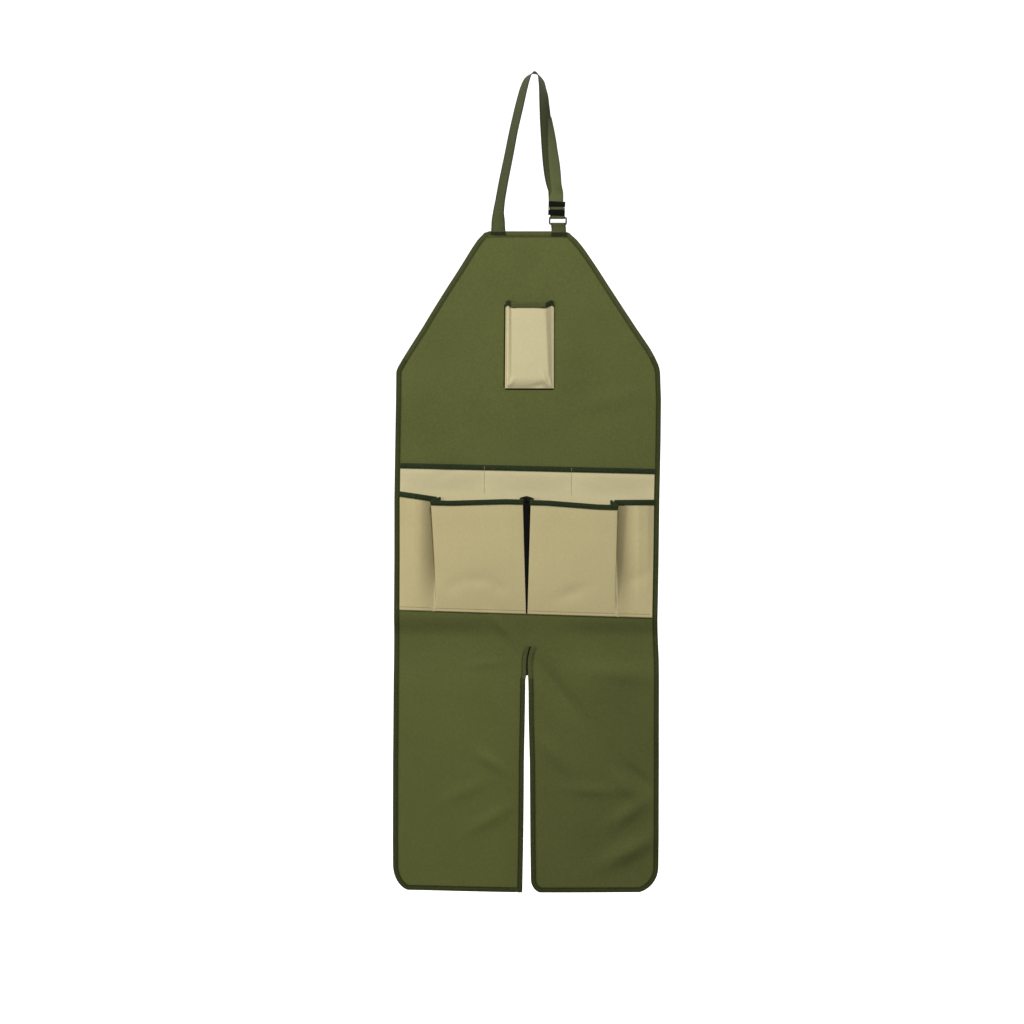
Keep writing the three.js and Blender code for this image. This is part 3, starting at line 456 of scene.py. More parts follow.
def make_weave_group():
    """Crossed threads, mottling and loose fibres: a colour, a height and a roughness."""
    tree = bpy.data.node_groups.new("woven threads", "ShaderNodeTree")
    for label, kind, way_in in (
        ("Colour", "Color", "INPUT"), ("Shade", "Color", "INPUT"), ("Place", "Vector", "INPUT"),
        ("Threads", "Float", "INPUT"), ("Mottle", "Float", "INPUT"),
        ("Colour", "Color", "OUTPUT"), ("Height", "Float", "OUTPUT"),
        ("Roughness", "Float", "OUTPUT"),
    ):
        tree.interface.new_socket(name=label, in_out=way_in, socket_type="NodeSocket" + kind)
    given = tree.nodes.new("NodeGroupInput").outputs
    made = tree.nodes.new("NodeGroupOutput")
    spot = given["Place"]
    axes = axes_of(tree, spot)

    wander = 0.0016
    wobble = maths(tree, "SUBTRACT", noise(tree, spot, 45.0, 2.0), 0.5)
    nudge = maths(tree, "MULTIPLY", wobble, wander)
    turns = maths(tree, "MULTIPLY", given["Threads"], math.pi)
    threads = []
    for axis in (axes[0], axes[2]):
        nudged = maths(tree, "ADD", axis, nudge)
        threads.append(maths(tree, "SINE", maths(tree, "MULTIPLY", nudged, turns)))
    height = maths(tree, "MULTIPLY_ADD", maths(tree, "MULTIPLY", *threads), 0.5, 0.5)

    fibres = noise(tree, spot, 900.0, 3.0)
    grain = noise(tree, spot, 260.0, 4.0, 0.6)
    cloud = noise(tree, spot, 9.0, 3.0)
    speckle = maths(tree, "ADD", maths(tree, "MULTIPLY", grain, 0.6),
                    maths(tree, "MULTIPLY", cloud, 0.4))
    shade_share = maths(tree, "MULTIPLY", ramp(tree, speckle, 0.35, 0.65, 0.0, 1.0),
                        given["Mottle"])
    gap_share = maths(tree, "MULTIPLY", maths(tree, "SUBTRACT", 1.0, height), 0.35)
    factor = maths(tree, "MINIMUM", maths(tree, "ADD", shade_share, gap_share), 1.0)
    set_inputs(tree, made, {
        "Colour": mixed(tree, factor, given["Colour"], given["Shade"]),
        "Height": maths(tree, "ADD", maths(tree, "MULTIPLY", height, 0.7),
                        maths(tree, "MULTIPLY", fibres, 0.3)),
        "Roughness": ramp(tree, grain, 0.3, 0.7, 0.78, 0.95),
    })
    return tree


WEAVE = make_weave_group()


def new_material(name):
    """A material with its tree, its shader and the places its textures read."""
    material = bpy.data.materials.new(name)
    material.use_nodes = True
    tree = material.node_tree
    places = tree.nodes.new("ShaderNodeTexCoord").outputs
    return material, tree, tree.nodes["Principled BSDF"], places


def raised_by(tree, height, strength, distance):
    values = {"Strength": strength, "Distance": distance, "Height": height}
    return add_node(tree, "ShaderNodeBump", values).outputs[0]


def cloth_material(name, colour, shade, threads, mottle, bump, sheen, tinted=None, on_uv=False):
    """Woven cloth in two tones, its threads counted per metre; tinted(tree, places, tone)
    may change the tone from place to place."""
    material, tree, surface, places = new_material(name)
    spot = places["Object"]
    if on_uv:
        flat = axes_of(tree, places["UV"])
        spot = add_node(tree, "ShaderNodeCombineXYZ", {"X": flat[0], "Z": flat[1]}).outputs[0]
    values = {"Colour": colour, "Shade": shade, "Place": spot, "Threads": threads,
              "Mottle": mottle}
    weave = tree.nodes.new("ShaderNodeGroup")
    weave.node_tree = WEAVE
    set_inputs(tree, weave, values)
    tone = weave.outputs["Colour"]
    set_inputs(tree, surface, {
        "Base Color": tinted(tree, places, tone) if tinted else tone,
        "Roughness": weave.outputs["Roughness"],
        "Normal": raised_by(tree, weave.outputs["Height"], bump, 0.0006),
        "Sheen Weight": sheen,
        "Sheen Roughness": 0.5,
        "Specular IOR Level": 0.25,
    })
    return material


def shaded_inwards(tree, places, tone):
    """Shade towards the inner edge of a side pocket, where its map's U is 1."""
    axes = axes_of(tree, places["UV"])
    inwards = ramp(tree, axes[0], 0.42, 1.0, 0.0, 0.72, "SMOOTHSTEP")
    upwards = ramp(tree, axes[1], 0.0, 0.5, 0.3, 1.0, "SMOOTHSTEP")
    return mixed(tree, maths(tree, "MULTIPLY", inwards, upwards), tone, (0.13, 0.105, 0.045))


# Painted light: the lower left leg is painted paler, standing in for the light that falls more on
# it than on the right leg.
def painted_light_on_left_leg(tree, places, tone):
    axes = axes_of(tree, places["Object"])
    leftwards = ramp(tree, axes[0], BODY_MIDDLE + 0.02, BODY_MIDDLE - 0.05, 0.0, 1.0,
                     "SMOOTHSTEP")
    lowered = ramp(tree, axes[2], BIB_TOP - 0.70, BIB_TOP - 0.80, 0.0, 0.13, "SMOOTHSTEP")
    return mixed(tree, maths(tree, "MULTIPLY", leftwards, lowered), tone, (0.2, 0.215, 0.045))


def ribs_with_painted_light_and_shade(tree, places, tone):
    """Ribs and darker selvedges, painted shade on the strap beside its tail, and the tail
    painted paler as painted light; the strap's maker sets where the named ramps lie, on the
    strap's own lengthwise map."""
    along, across = axes_of(tree, places["UV"])[:2]
    half = WEBBING_WIDTH / 2
    off = maths(tree, "ABSOLUTE", maths(tree, "SUBTRACT", across, half))
    selvedge = ramp(tree, off, half * 0.72, half * 0.86, 0.0, 1.0)
    tone = mixed(tree, selvedge, tone, (0.048, 0.056, 0.022))
    rib_turns = 2600.0
    rib = maths(tree, "SINE", maths(tree, "MULTIPLY", maths(tree, "ADD", along, off), rib_turns))
    tone = mixed(tree, maths(tree, "MULTIPLY_ADD", rib, 0.08, 0.1), tone, (0.03, 0.035, 0.014))
    # Painted shade on the strap beside its tail, deeper across its width towards one edge.
    depth = ramp(tree, across, 0.0, WEBBING_WIDTH, 0.2, 0.8)
    for name, low, high in (("shade starts", 0.0, 1.0), ("shade ends", 1.0, 0.0)):
        edge = ramp(tree, along, 10.0, 11.0, low, high, "SMOOTHSTEP", name)
        depth = maths(tree, "MULTIPLY", depth, edge)
    tone = mixed(tree, depth, tone, (0.016, 0.019, 0.006))
    # Painted light: the tail is painted paler, as if its face caught more light.
    pale = ramp(tree, along, 10.0, 10.01, 0.0, 0.38, name="tail starts")
    return mixed(tree, pale, tone, (0.17, 0.195, 0.075))


def hard_material(name, colour, roughness, grain, specular):
    """Moulded plastic or coated wire: a faint grain and rubbed patches."""
    material, tree, surface, places = new_material(name)
    fine = noise(tree, places["Object"], 1500.0, 3.0)
    worn = noise(tree, places["Object"], 160.0, 4.0)
    light = [min(channel * 2.2 + 0.003, 1) for channel in colour]
    set_inputs(tree, surface, {
        "Base Color": mixed(tree, ramp(tree, worn, 0.5, 0.7, 0.0, 0.6), colour, light),
        "Roughness": ramp(tree, worn, 0.3, 0.7, roughness - 0.1, roughness + 0.12),
        "Normal": raised_by(tree, fine, grain, 0.0002),
        "Specular IOR Level": specular,
    })
    return material


def canvas(name, colour, shade, mottle=0.5, bump=0.7, sheen=0.05, tinted=None):
    return cloth_material(name, colour, shade, 900.0, mottle, bump, sheen, tinted)


def tape_cloth(name, colour, shade, mottle=0.7):
    return cloth_material(name, colour, shade, 1400.0, mottle, 0.9, 0.02)


def sewing_thread(name, colour, shade):
    return cloth_material(name, colour, shade, 5000.0, 0.5, 0.6, 0.02)


BEIGE_TONES = (0.61, 0.525, 0.275), (0.52, 0.44, 0.22)
# The green canvas, with painted light on its lower left leg.
GREEN = canvas("green canvas", (0.118, 0.132, 0.035), (0.084, 0.095, 0.023), 0.6, 0.8, 0.03,
               painted_light_on_left_leg)
BEIGE = canvas("beige canvas", *BEIGE_TONES)
SHADED_BEIGE = canvas("shaded beige canvas", *BEIGE_TONES, tinted=shaded_inwards)
# A paler copy of the beige canvas: painted light, lighter to stand for the light on the flatter
# upper and phone pocket faces.
LIT_BEIGE = canvas("pale beige canvas", (0.66, 0.585, 0.345), (0.58, 0.51, 0.285))
# Near-black cloth used as painted shade: in the deep gap between the tool pockets, on their tapes
# beside it, and behind the slit's top.
PAINTED_SHADE_CLOTH = canvas("painted shade cloth", (0.006, 0.006, 0.003), (0.003, 0.003, 0.002), 0.5, 0.6, 0.0)
EDGE_TAPE = tape_cloth("dark edge tape", (0.056, 0.066, 0.014), (0.034, 0.04, 0.008))
TOP_TAPE = tape_cloth("olive edge tape", (0.095, 0.104, 0.03), (0.07, 0.077, 0.02))
# Painted light: the tape on the bib's slanted edges is painted lighter than the rest, for the
# stronger light on the upper apron.
LIT_BIB_TAPE = tape_cloth("edge tape painted lighter", (0.078, 0.088, 0.025), (0.054, 0.062, 0.016))
MOUTH_TAPE = tape_cloth("dark mouth tape", (0.026, 0.042, 0.012), (0.013, 0.022, 0.006), 0.6)
GREEN_THREAD = sewing_thread("dark thread", (0.014, 0.017, 0.007), (0.006, 0.008, 0.003))
TACK_THREAD = sewing_thread("olive tack thread", (0.034, 0.039, 0.016), (0.02, 0.023, 0.009))
BEIGE_THREAD = sewing_thread("beige thread", (0.52, 0.445, 0.24), (0.44, 0.37, 0.19))
WEBBING_CLOTH = cloth_material("olive webbing", (0.096, 0.114, 0.032), (0.046, 0.055, 0.016),
                               900.0, 0.55, 0.9, 0.1, ribs_with_painted_light_and_shade, on_uv=True)
PLASTIC = hard_material("black plastic", (0.0018, 0.0019, 0.001), 0.6, 0.15, 0.08)
WIRE = hard_material("dark coated wire", (0.036, 0.039, 0.026), 0.5, 0.1, 0.5)


# The body.

def cloth_levels():
    """Heights of the cloth's rows, closer together where the hem's corners turn."""
    straight = 236
    turning = 14
    corner_top = BODY_LENGTH - HEM_CORNER_HEIGHT
    above = round(straight * (SLIT_TOP - TAPE_WRAP) / (corner_top - TAPE_WRAP))
    below = straight - above
    levels = [TAPE_WRAP + (SLIT_TOP - TAPE_WRAP) * row / above for row in range(above)]
    levels += [SLIT_TOP + (corner_top - SLIT_TOP) * row / below for row in range(below)]
    for row in range(turning + 1):
        angle = math.pi / 2 * row / turning
        levels.append(corner_top + (HEM_CORNER_HEIGHT - TAPE_WRAP) * math.sin(angle))
    return levels


LEVELS = cloth_levels()


def leg_spot(side, share, down):
    """A place across one leg, share 0 being its outer edge and 1 the slit."""
    outer = side_edge(side, down) - side * TAPE_WRAP
    inner = slit_edge(side, down) + side * TAPE_WRAP
    return outer + (inner - outer) * share


def make_body():
    per_leg = 48
    columns = 2 * per_leg + 1
    rows = len(LEVELS) - 1

    def spot(u, v):
        column = round(u * columns)
        down = LEVELS[round(v * rows)]
        if column <= per_leg:
            return place(leg_spot(-1, column / per_leg, down), down, 0)
        return place(leg_spot(1, (columns - column) / per_leg, down), down, 0)

    body = cloth_grid("apron_body", columns, rows, spot)
    bpy.ops.object.mode_set(mode="EDIT")
    bpy.ops.mesh.select_mode(type="FACE")
    bpy.ops.mesh.select_all(action="DESELECT")
    bpy.ops.object.mode_set(mode="OBJECT")
    for face in body.data.polygons:
        row = rows - 1 - face.index // columns
        if face.index % columns == per_leg and LEVELS[row] >= SLIT_TOP - TINY:
            face.select = True
    bpy.ops.object.mode_set(mode="EDIT")
    bpy.ops.mesh.delete(type="FACE")
    bpy.ops.object.mode_set(mode="OBJECT")
    thicken(body, CLOTH)
    return finish(body, GREEN, "green_canvas", "body_cloth")


# Tape folded over an edge.

def tape_profile(cloth_half):
    """The folded tape's middle line: beyond the cloth's edge, and in front of it."""
    middle = cloth_half + FIT_GAP + TAPE / 2
    reach = -(TAPE_WIDTH - TAPE_WRAP)
    turn_at = FIT_GAP + TAPE / 2 - middle
    front = [(reach, middle), (reach * 0.75, middle - 0.0001), (reach * 0.5, middle + 0.00015),
             (reach * 0.25, middle + 0.0002), (turn_at, middle)]
    bend = [(turn_at + middle * math.sin(angle), middle * math.cos(angle))
            for angle in (math.pi * step / 6 for step in range(1, 6))]
    back = [(beyond, -out) for beyond, out in reversed(front)]
    return front + bend + back


def way(start, end):
    across, down = end[0] - start[0], end[1] - start[1]
    length = math.hypot(across, down)
    return (across / length, down / length) if length > 1e-9 else None


def edge_frames(path, side_sign):
    """For each place on an edge: the place, its outward direction, and its own way."""
    frames = []
    for index, point in enumerate(path):
        into = way(path[max(index - 1, 0)], point)
        away = way(point, path[min(index + 1, len(path) - 1)])
        into = into or away
        away = away or into
        normal = (-(into[1] + away[1]), into[0] + away[0])
        size = math.hypot(*normal)
        reach = side_sign * min(2 / size, 1.6) / size
        frames.append((point, (normal[0] * reach, normal[1] * reach), into, away))
    return frames


def slide_to(level):
    def slid(spot, along):
        return spot[0] + along[0] * (level - spot[1]) / along[1], level
    return slid


def tape_spot(frames, index, beyond, trims):
    point, outward, into, away = frames[index]
    spot = (point[0] + outward[0] * beyond, point[1] + outward[1] * beyond)
    if index == 0 and trims[0]:
        spot = trims[0](spot, away)
    if index == len(frames) - 1 and trims[1]:
        spot = trims[1](spot, into)
    return spot


def edge_tape(name, node, path, side_sign, trims=(None, None), material=EDGE_TAPE):
    frames = edge_frames(path, side_sign)
    profile = tape_profile(CLOTH / 2)
    last = len(path) - 1
    sewn_in = 0.0062

    def spot(u, v):
        index = round(u * last)
        beyond, out = profile[round(v * (len(profile) - 1))]
        pucker = 0.00012 * math.sin(index * 2.1) * (1 if beyond > -0.006 else 0)
        across, down = tape_spot(frames, index, beyond, trims)
        return place(across, down, out + math.copysign(pucker, out))

    # Olive tape at the slit's top; on the bib's slanted edges the tape painted lighter as painted
    # light; the dark tape elsewhere.
    def part_of(u):
        across, down = path[int(u * last)]
        if abs(across) < 0.03 and SLIT_TOP - 0.01 < down < SLIT_TOP + 0.052:
            return 1
        return 2 if down < 0.215 else 0

    tape = cloth_grid(name, last, len(profile) - 1, spot)
    at_bib = LIT_BIB_TAPE if material == EDGE_TAPE else material
    line_part(tape, last, (material, TOP_TAPE, at_bib), part_of)
    thicken(tape, TAPE)
    face_outwards(tape)
    finish(tape, material, "edge_tape", node)
    for label, front in (("_stitches", 1), ("_back_stitches", -1)):
        out = front * (CLOTH / 2 + TAPE_WRAP + STITCH_LIFT)
        line = [place(*tape_spot(frames, index, -sewn_in, trims), out)
                for index in range(2, last - 1)]
        stitch_line(name + label, line, GREEN_THREAD, "edge_tape")
    return tape


def stitch_line(name, points, thread, slot, pitch=0.0038, length=0.0026, thickness=0.00045):
    """A row of stitches along points: one stitch, repeated and bent to the row."""
    curve = bpy.data.curves.new(name + "_row", "CURVE")
    curve.dimensions = "3D"
    spline = curve.splines.new("POLY")
    spline.points.add(len(points) - 1)
    for target, point in zip(spline.points, points):
        target.co = (*point, 1)
    row = bpy.data.objects.new(name + "_row", curve)
    bpy.context.scene.collection.objects.link(row)
    total = runs_along(points)[-1]
    stitch = add_piece(name, bpy.ops.mesh.primitive_cylinder_add, vertices=6,
                       radius=thickness, depth=length, location=(length / 2, 0, 0),
                       rotation=(0, math.pi / 2, 0))
    bpy.ops.object.transform_apply(location=True, rotation=True, scale=True)
    edit_all(stitch, bpy.ops.mesh.bevel, offset=thickness * 0.7, segments=1, affect="EDGES")
    copies = stitch.modifiers.new("copies", "ARRAY")
    copies.count = max(int(total / pitch), 1)
    copies.use_relative_offset = False
    copies.use_constant_offset = True
    copies.constant_offset_displace = (pitch, 0, 0)
    bend = stitch.modifiers.new("bend", "CURVE")
    bend.object = row
    bend.deform_axis = "POS_X"
    apply_modifiers(stitch)
    bpy.data.objects.remove(row)
    return finish(stitch, thread, slot, angle=60)


def side_path(side):
    return [(side_edge(side, down) - side * TAPE_WRAP, down) for down in LEVELS]


def slit_path(side):
    return [(slit_edge(side, down) + side * TAPE_WRAP, down) for down in LEVELS
            if down >= SLIT_TOP - TINY]


def hem_path(start, end):
    return [(across, BODY_LENGTH - TAPE_WRAP) for across in spread(start, end, 44)[1:-1]]


def make_edge_tapes():
    hem = BODY_LENGTH - TAPE_WRAP
    left_side, right_side = side_path(-1), side_path(1)
    left_slit, right_slit = slit_path(-1), slit_path(1)
    left_end = left_slit[-1][0] - (TAPE_WIDTH - TAPE_WRAP) - FIT_GAP
    left_run = left_side + hem_path(left_side[-1][0], left_end) + [(left_end, hem)]
    right_run = right_slit + hem_path(right_slit[-1][0], right_side[-1][0]) + right_side[::-1]
    below_slit = slide_to(SLIT_TOP + FIT_GAP)
    tapes = [
        edge_tape("tape_left_side", "edge_tape_left", left_run, 1, (slide_to(0), None)),
        edge_tape("tape_slit_left", "edge_tape_slit_left", left_slit, -1,
                  (below_slit, slide_to(BODY_LENGTH))),
        edge_tape("tape_right_side", "edge_tape_right", right_run, 1, (below_slit, slide_to(0))),
    ]

    def clear(side, down):
        slope = abs(side_edge(side, TAPE_WIDTH) - side_edge(side, 0)) / TAPE_WIDTH
        return side * (abs(side_edge(side, down)) - (TAPE_WIDTH + FIT_GAP) * math.hypot(1, slope))

    def end_at(side):
        return lambda spot, along: (clear(side, spot[1]), spot[1])

    top = [(across, TAPE_WRAP) for across in spread(clear(-1, 0), clear(1, 0), 40)]
    tapes.append(edge_tape("tape_bib_top", "edge_tape_top", top, -1, (end_at(-1), end_at(1)),
                           TOP_TAPE))
    tapes.append(make_slit_stay())
    return tapes


def make_slit_stay():
    """A stay strip behind the slit's top that closes it; its near-black colour is painted shade,
    the dark line seen through the narrow gap.
    """
    thickness = 0.0008

    def spot(u, v):
        return place(-0.005 + 0.016 * u, SLIT_TOP - 0.006 + 0.0555 * v,
                     -CLOTH / 2 - TAPE_WRAP - thickness)

    stay = cloth_grid("slit_stay", 8, 24, spot)
    thicken(stay, thickness)
    face_outwards(stay)
    return finish(stay, PAINTED_SHADE_CLOTH, "edge_tape")


# Pockets.

def fold_grid(name, folds, per_fold, rows, spot_of_fold):
    """A folded wall: spot_of_fold(fold, v) gives a fold's place, out included, and the
    folds are joined with slightly rounded corners."""
    count = len(folds) - 1
    blur = 0.14
    cache = {}

    def at_fold(index, v):
        key = (index, round(v, 6))
        if key not in cache:
            cache[key] = Vector(spot_of_fold(folds[index], v))
        return cache[key]

    def between(t, v):
        t = min(max(t, 0), count)
        index = min(int(t), count - 1)
        return at_fold(index, v).lerp(at_fold(index + 1, v), t - index)

    def flat_spot(u, v):
        t = u * count
        middle = between(t, v)
        if 0 < t < count:
            ease = min(t, count - t, blur)
            middle = (between(t - ease, v) + 2 * middle + between(t + ease, v)) / 4
        return middle

    def spot(u, v):
        across, down, out = flat_spot(u, v)
        free = smooth(0.002, 0.006, out - 0.0005)
        return place(across, down, out + crease(POCKET_CREASES, across, down) * free)

    return cloth_grid(name, count * per_fold, rows, spot), flat_spot


def mouth_tape(name, node, flat_spot, columns, wall_height, material=None, dark=lambda u: False):
    """Tape folded over a pocket's mouth, along the wall's first few millimetres, and
    deep in shade where dark(u) is true."""
    profile = tape_profile(POCKET / 2)

    def spot(u, v):
        beyond, out = profile[round(v * (len(profile) - 1))]
        share = max(-beyond, 0) / wall_height
        here = flat_spot(u, share)
        step = 0.004
        before, after = flat_spot(max(u - step, 0), share), flat_spot(min(u + step, 1), share)
        run = (after.x - before.x, after.z - before.z)
        size = math.hypot(*run) or 1
        across = here.x - run[1] / size * out
        down = here.y - max(beyond, 0)
        stitch_dent = 0.00008 * math.sin(u * columns * 2.1)
        return place(across, down, here.z + run[0] / size * out + stitch_dent)

    tape = cloth_grid(name, columns, len(profile) - 1, spot)
    line_part(tape, columns, (material or MOUTH_TAPE, MOUTH_TAPE if material else PAINTED_SHADE_CLOTH), dark)
    thicken(tape, TAPE)
    face_outwards(tape)
    return finish(tape, MOUTH_TAPE, "pocket_tape", node)


def lifted(here, lift):
    return place(here.x, here.y, here.z + lift)


def row_on(flat_spot, share, lift, start=0.0, end=1.0, steps=80):
    """Points along a pocket at a share of its height, lifted off its front."""
    return [lifted(flat_spot(u, share), lift) for u in spread(start, end, steps)]


def column_on(flat_spot, u, lift, start, end, steps=40):
    """Points down a pocket at a share of its width, lifted off its front."""
    return [lifted(flat_spot(u, share), lift) for share in spread(start, end, steps)]


def flat_size(flat_spot):
    """The cut's width and height, measured along the folded wall."""
    shares = spread(0, 1, 120)
    across = [flat_spot(share, 0.3) for share in shares]
    down = [flat_spot(0.45, share) for share in shares]
    return runs_along(across)[-1], runs_along(down)[-1]


def make_phone_pocket():
    base = CLOTH / 2 + FIT_GAP
    at_mouth = base + TAPE_WRAP

    def spot_of_fold(fold, v):
        top = PHONE_DROP + TAPE_WRAP + fold["dip"] * PHONE_HEIGHT
        seam = PHONE_DROP + PHONE_HEIGHT + TAPE_WRAP
        share = fold["mouth"] + (fold["seam"] - fold["mouth"]) * v
        if fold["stand"] == CORNER_STAND:
            share += (math.copysign(0.93, share) - share) * smooth(0.84, 1, v)
        foot = at_mouth + (base - at_mouth) * smooth(0.1, 0.4, v)
        stand = fold["stand"] * look_up_soft(PHONE_BELLY, v, "stand", 0.02)
        return (PHONE_SHIFT + PHONE_WIDTH / 2 * share, top + (seam - top) * v,
                foot + POCKET / 2 + PHONE_DEPTH * stand)

    wall, flat_spot = fold_grid("phone_pocket_cloth", PHONE_FOLDS, 10, 60, spot_of_fold)
    flat = flat_size(flat_spot)
    thicken(wall, POCKET)
    finish(wall, LIT_BEIGE, "beige_canvas", "phone_pocket")
    tape = mouth_tape("phone_pocket_mouth", "phone_pocket_tape", flat_spot, 105, PHONE_HEIGHT,
                      TOP_TAPE, lambda u: u < 2 / 7 or u > 5 / 7)
    # Close dark stitches under the tape: real stitching, packed tight to stand also as painted
    # shadow along the tape's lower edge.
    stitch_line("phone_pocket_mouth_stitches", row_on(flat_spot, 0.052, TAPE_FACE, 0.28, 0.72),
                GREEN_THREAD, "pocket_tape", pitch=0.002, length=0.0019, thickness=0.0006)
    # Thick dark thread rows just outside the pocket's left, right and bottom edges: painted shadow
    # along them.
    shares = spread(0, 1, 40)
    for side, spots, across, down, thickness in (
        ("left", [flat_spot(0, share) for share in shares[1:]], -0.0017, 0, 0.0012),
        ("right", [flat_spot(1, share) for share in shares[1:]], 0.0010, 0, 0.0005),
        ("bottom", [flat_spot(share, 1) for share in shares], 0, 0.0017, 0.0012),
    ):
        line = [place(here.x + across, here.y + down, CLOTH / 2 + 0.0003) for here in spots]
        stitch_line("phone_pocket_%s_shade" % side, line, GREEN_THREAD, "edge_tape",
                    pitch=0.002, length=0.0019, thickness=thickness)
    for side, share in (("left", 0.05), ("right", 0.95)):
        line = column_on(flat_spot, share, SURFACE, 0.06, 0.99)
        stitch_line("phone_pocket_%s_seam" % side, line, BEIGE_THREAD, "beige_canvas")


def make_upper_pocket():
    base = CLOTH / 2 + FIT_GAP
    at_mouth = base + TAPE_WRAP
    flat_below = TOOL_DROP - UPPER_DROP - TAPE_WIDTH
    height = SEAM_DROP - UPPER_DROP
    levels = table(
        "down gape foot",
        (0, 1, at_mouth), (flat_below * 0.36 / height, 0.9, at_mouth),
        (flat_below * 0.72 / height, 0.55, base), (flat_below / height, 0, base), (1, 0, base),
    )

    def spot_of_fold(fold, v):
        side = -1 if fold["across"] < 0 else 1
        across = fold["across"] * pocket_edge(side, UPPER_DROP + height * v)
        gape = fold["gape"] * look_up_soft(levels, v, "gape", 0.02)
        lean = across * (POCKET_LEAN + (SEAM_LEAN - POCKET_LEAN) * v)
        return (across, UPPER_DROP + TAPE_WRAP + height * v + lean,
                look_up(levels, v, "foot") + POCKET / 2 + UPPER_GAPE * gape)

    wall, flat_spot = fold_grid("upper_pocket_cloth", UPPER_FOLDS, 9, 90, spot_of_fold)
    flat = flat_size(flat_spot)
    thicken(wall, POCKET)
    finish(wall, LIT_BEIGE, "beige_canvas", "upper_pocket")
    tape = mouth_tape("upper_pocket_mouth", "upper_pocket_tape", flat_spot, 240, height)
    line = row_on(flat_spot, 0.026, TAPE_FACE, 0.01, 0.99, 200)
    stitch_line("upper_pocket_mouth_stitches", line, GREEN_THREAD, "pocket_tape")
    for index, label in ((5, "left"), (10, "right")):
        u = index / (len(UPPER_FOLDS) - 1)
        line = column_on(flat_spot, u, SURFACE, 0.035, 0.2)
        stitch_line("upper_pocket_divider_" + label, line, BEIGE_THREAD, "beige_canvas",
                    pitch=0.0032)
        line = column_on(flat_spot, u, TAPE_FACE, 0.002, 0.034, 8)
        stitch_line("upper_pocket_tack_" + label, line, BEIGE_THREAD, "pocket_tape",
                    pitch=0.0024, length=0.0018)
    line = row_on(flat_spot, 0.985, SURFACE, 0.004, 0.996, 200)
    stitch_line("pocket_row_seam", line, BEIGE_THREAD, "beige_canvas")


def lower_spot(across, dip, stand, v, out):
    """A place on a lower pocket's wall: its mouth lowered by dip, its belly by stand, and
    out being its distance in front of the pocket's foot."""
    top = TOOL_DROP + TAPE_WRAP + TOOL_DEPTH * dip + across * POCKET_LEAN
    seam = SEAM_DROP + across * SEAM_LEAN
    foot = TOOL_FOOT + (TOOL_BASE - TOOL_FOOT) * smooth(0.07, 0.3, v)
    belly = stand * look_up_soft(TOOL_BELLY, v, "stand", 0.03)
    return across, top + (seam - top) * v, foot + out + belly


def dress_lower_pocket(name, wall, flat_spot, material, columns, start, end, dark=lambda u: False):
    """Finishes a lower pocket's wall and sews its tape on, which is given back."""
    thicken(wall, POCKET)
    finish(wall, material, "beige_canvas", name)
    tape = mouth_tape(name + "_mouth", name + "_tape", flat_spot, columns, TOOL_WALL, None, dark)
    line = row_on(flat_spot, 0.032, TAPE_FACE, start, end)
    stitch_line(name + "_mouth_stitches", line, GREEN_THREAD, "pocket_tape")
    line = row_on(flat_spot, 0.975, SURFACE, 0.02, 0.98)
    stitch_line(name + "_seam", line, BEIGE_THREAD, "beige_canvas")
    return tape


def make_tool_pocket(pocket):
    side, tuck, mouth, seam_edge = [pocket[key] for key in ("side", "tuck", "mouth", "seam")]
    edge_dip, mid_dip = pocket["edge_dip"], pocket["mid_dip"]
    middle_gap = 0.0001
    folds = table(
        "mouth seam lift stand dip",
        (tuck, seam_edge + TUCK_SPREAD, 1, 0, pocket["tuck_dip"]),
        (mouth, seam_edge, 0, 0.84, edge_dip),
        (mouth * 0.78, seam_edge * 0.78, 0, 0.98, edge_dip),
        (mouth * 0.5, seam_edge * 0.5, 0, 1, (edge_dip + mid_dip) / 2),
        (mouth * 0.22, seam_edge * 0.2, 0, 0.96, mid_dip), (0.027, 0.0015, 0, 0.82, mid_dip),
        (0.052, 0.003, 0, 0.4, mid_dip / 2), (0, 0, 1, 0, 0),
    )
    ordered = folds if side < 0 else folds[::-1]

    def spot_of_fold(fold, v):
        edge = pocket_edge(side, TOOL_DROP + (SEAM_DROP - TOOL_DROP) * v)
        share = fold["mouth"] + (fold["seam"] - fold["mouth"]) * v
        across = side * (middle_gap + (edge - middle_gap) * share)
        out = POCKET * (fold["lift"] + 0.5)
        return lower_spot(across, fold["dip"], TOOL_DEPTH * fold["stand"], v, out)

    name = "tool_pocket_" + pocket["name"]
    wall, flat_spot = fold_grid(name + "_cloth", ordered, 12, 80, spot_of_fold)
    flat = flat_size(flat_spot)

    def in_pleat(u):
        return u > 5 / 7 if side < 0 else u < 2 / 7

    # The pleats facing the gap between the tool pockets are painted near-black as shade.
    line_part(wall, 84, (BEIGE, PAINTED_SHADE_CLOTH), in_pleat)
    tape = dress_lower_pocket(name, wall, flat_spot, BEIGE, 154, 0.16, 0.7,
                              lambda u: u > 6 / 7 if side < 0 else u < 1 / 7)


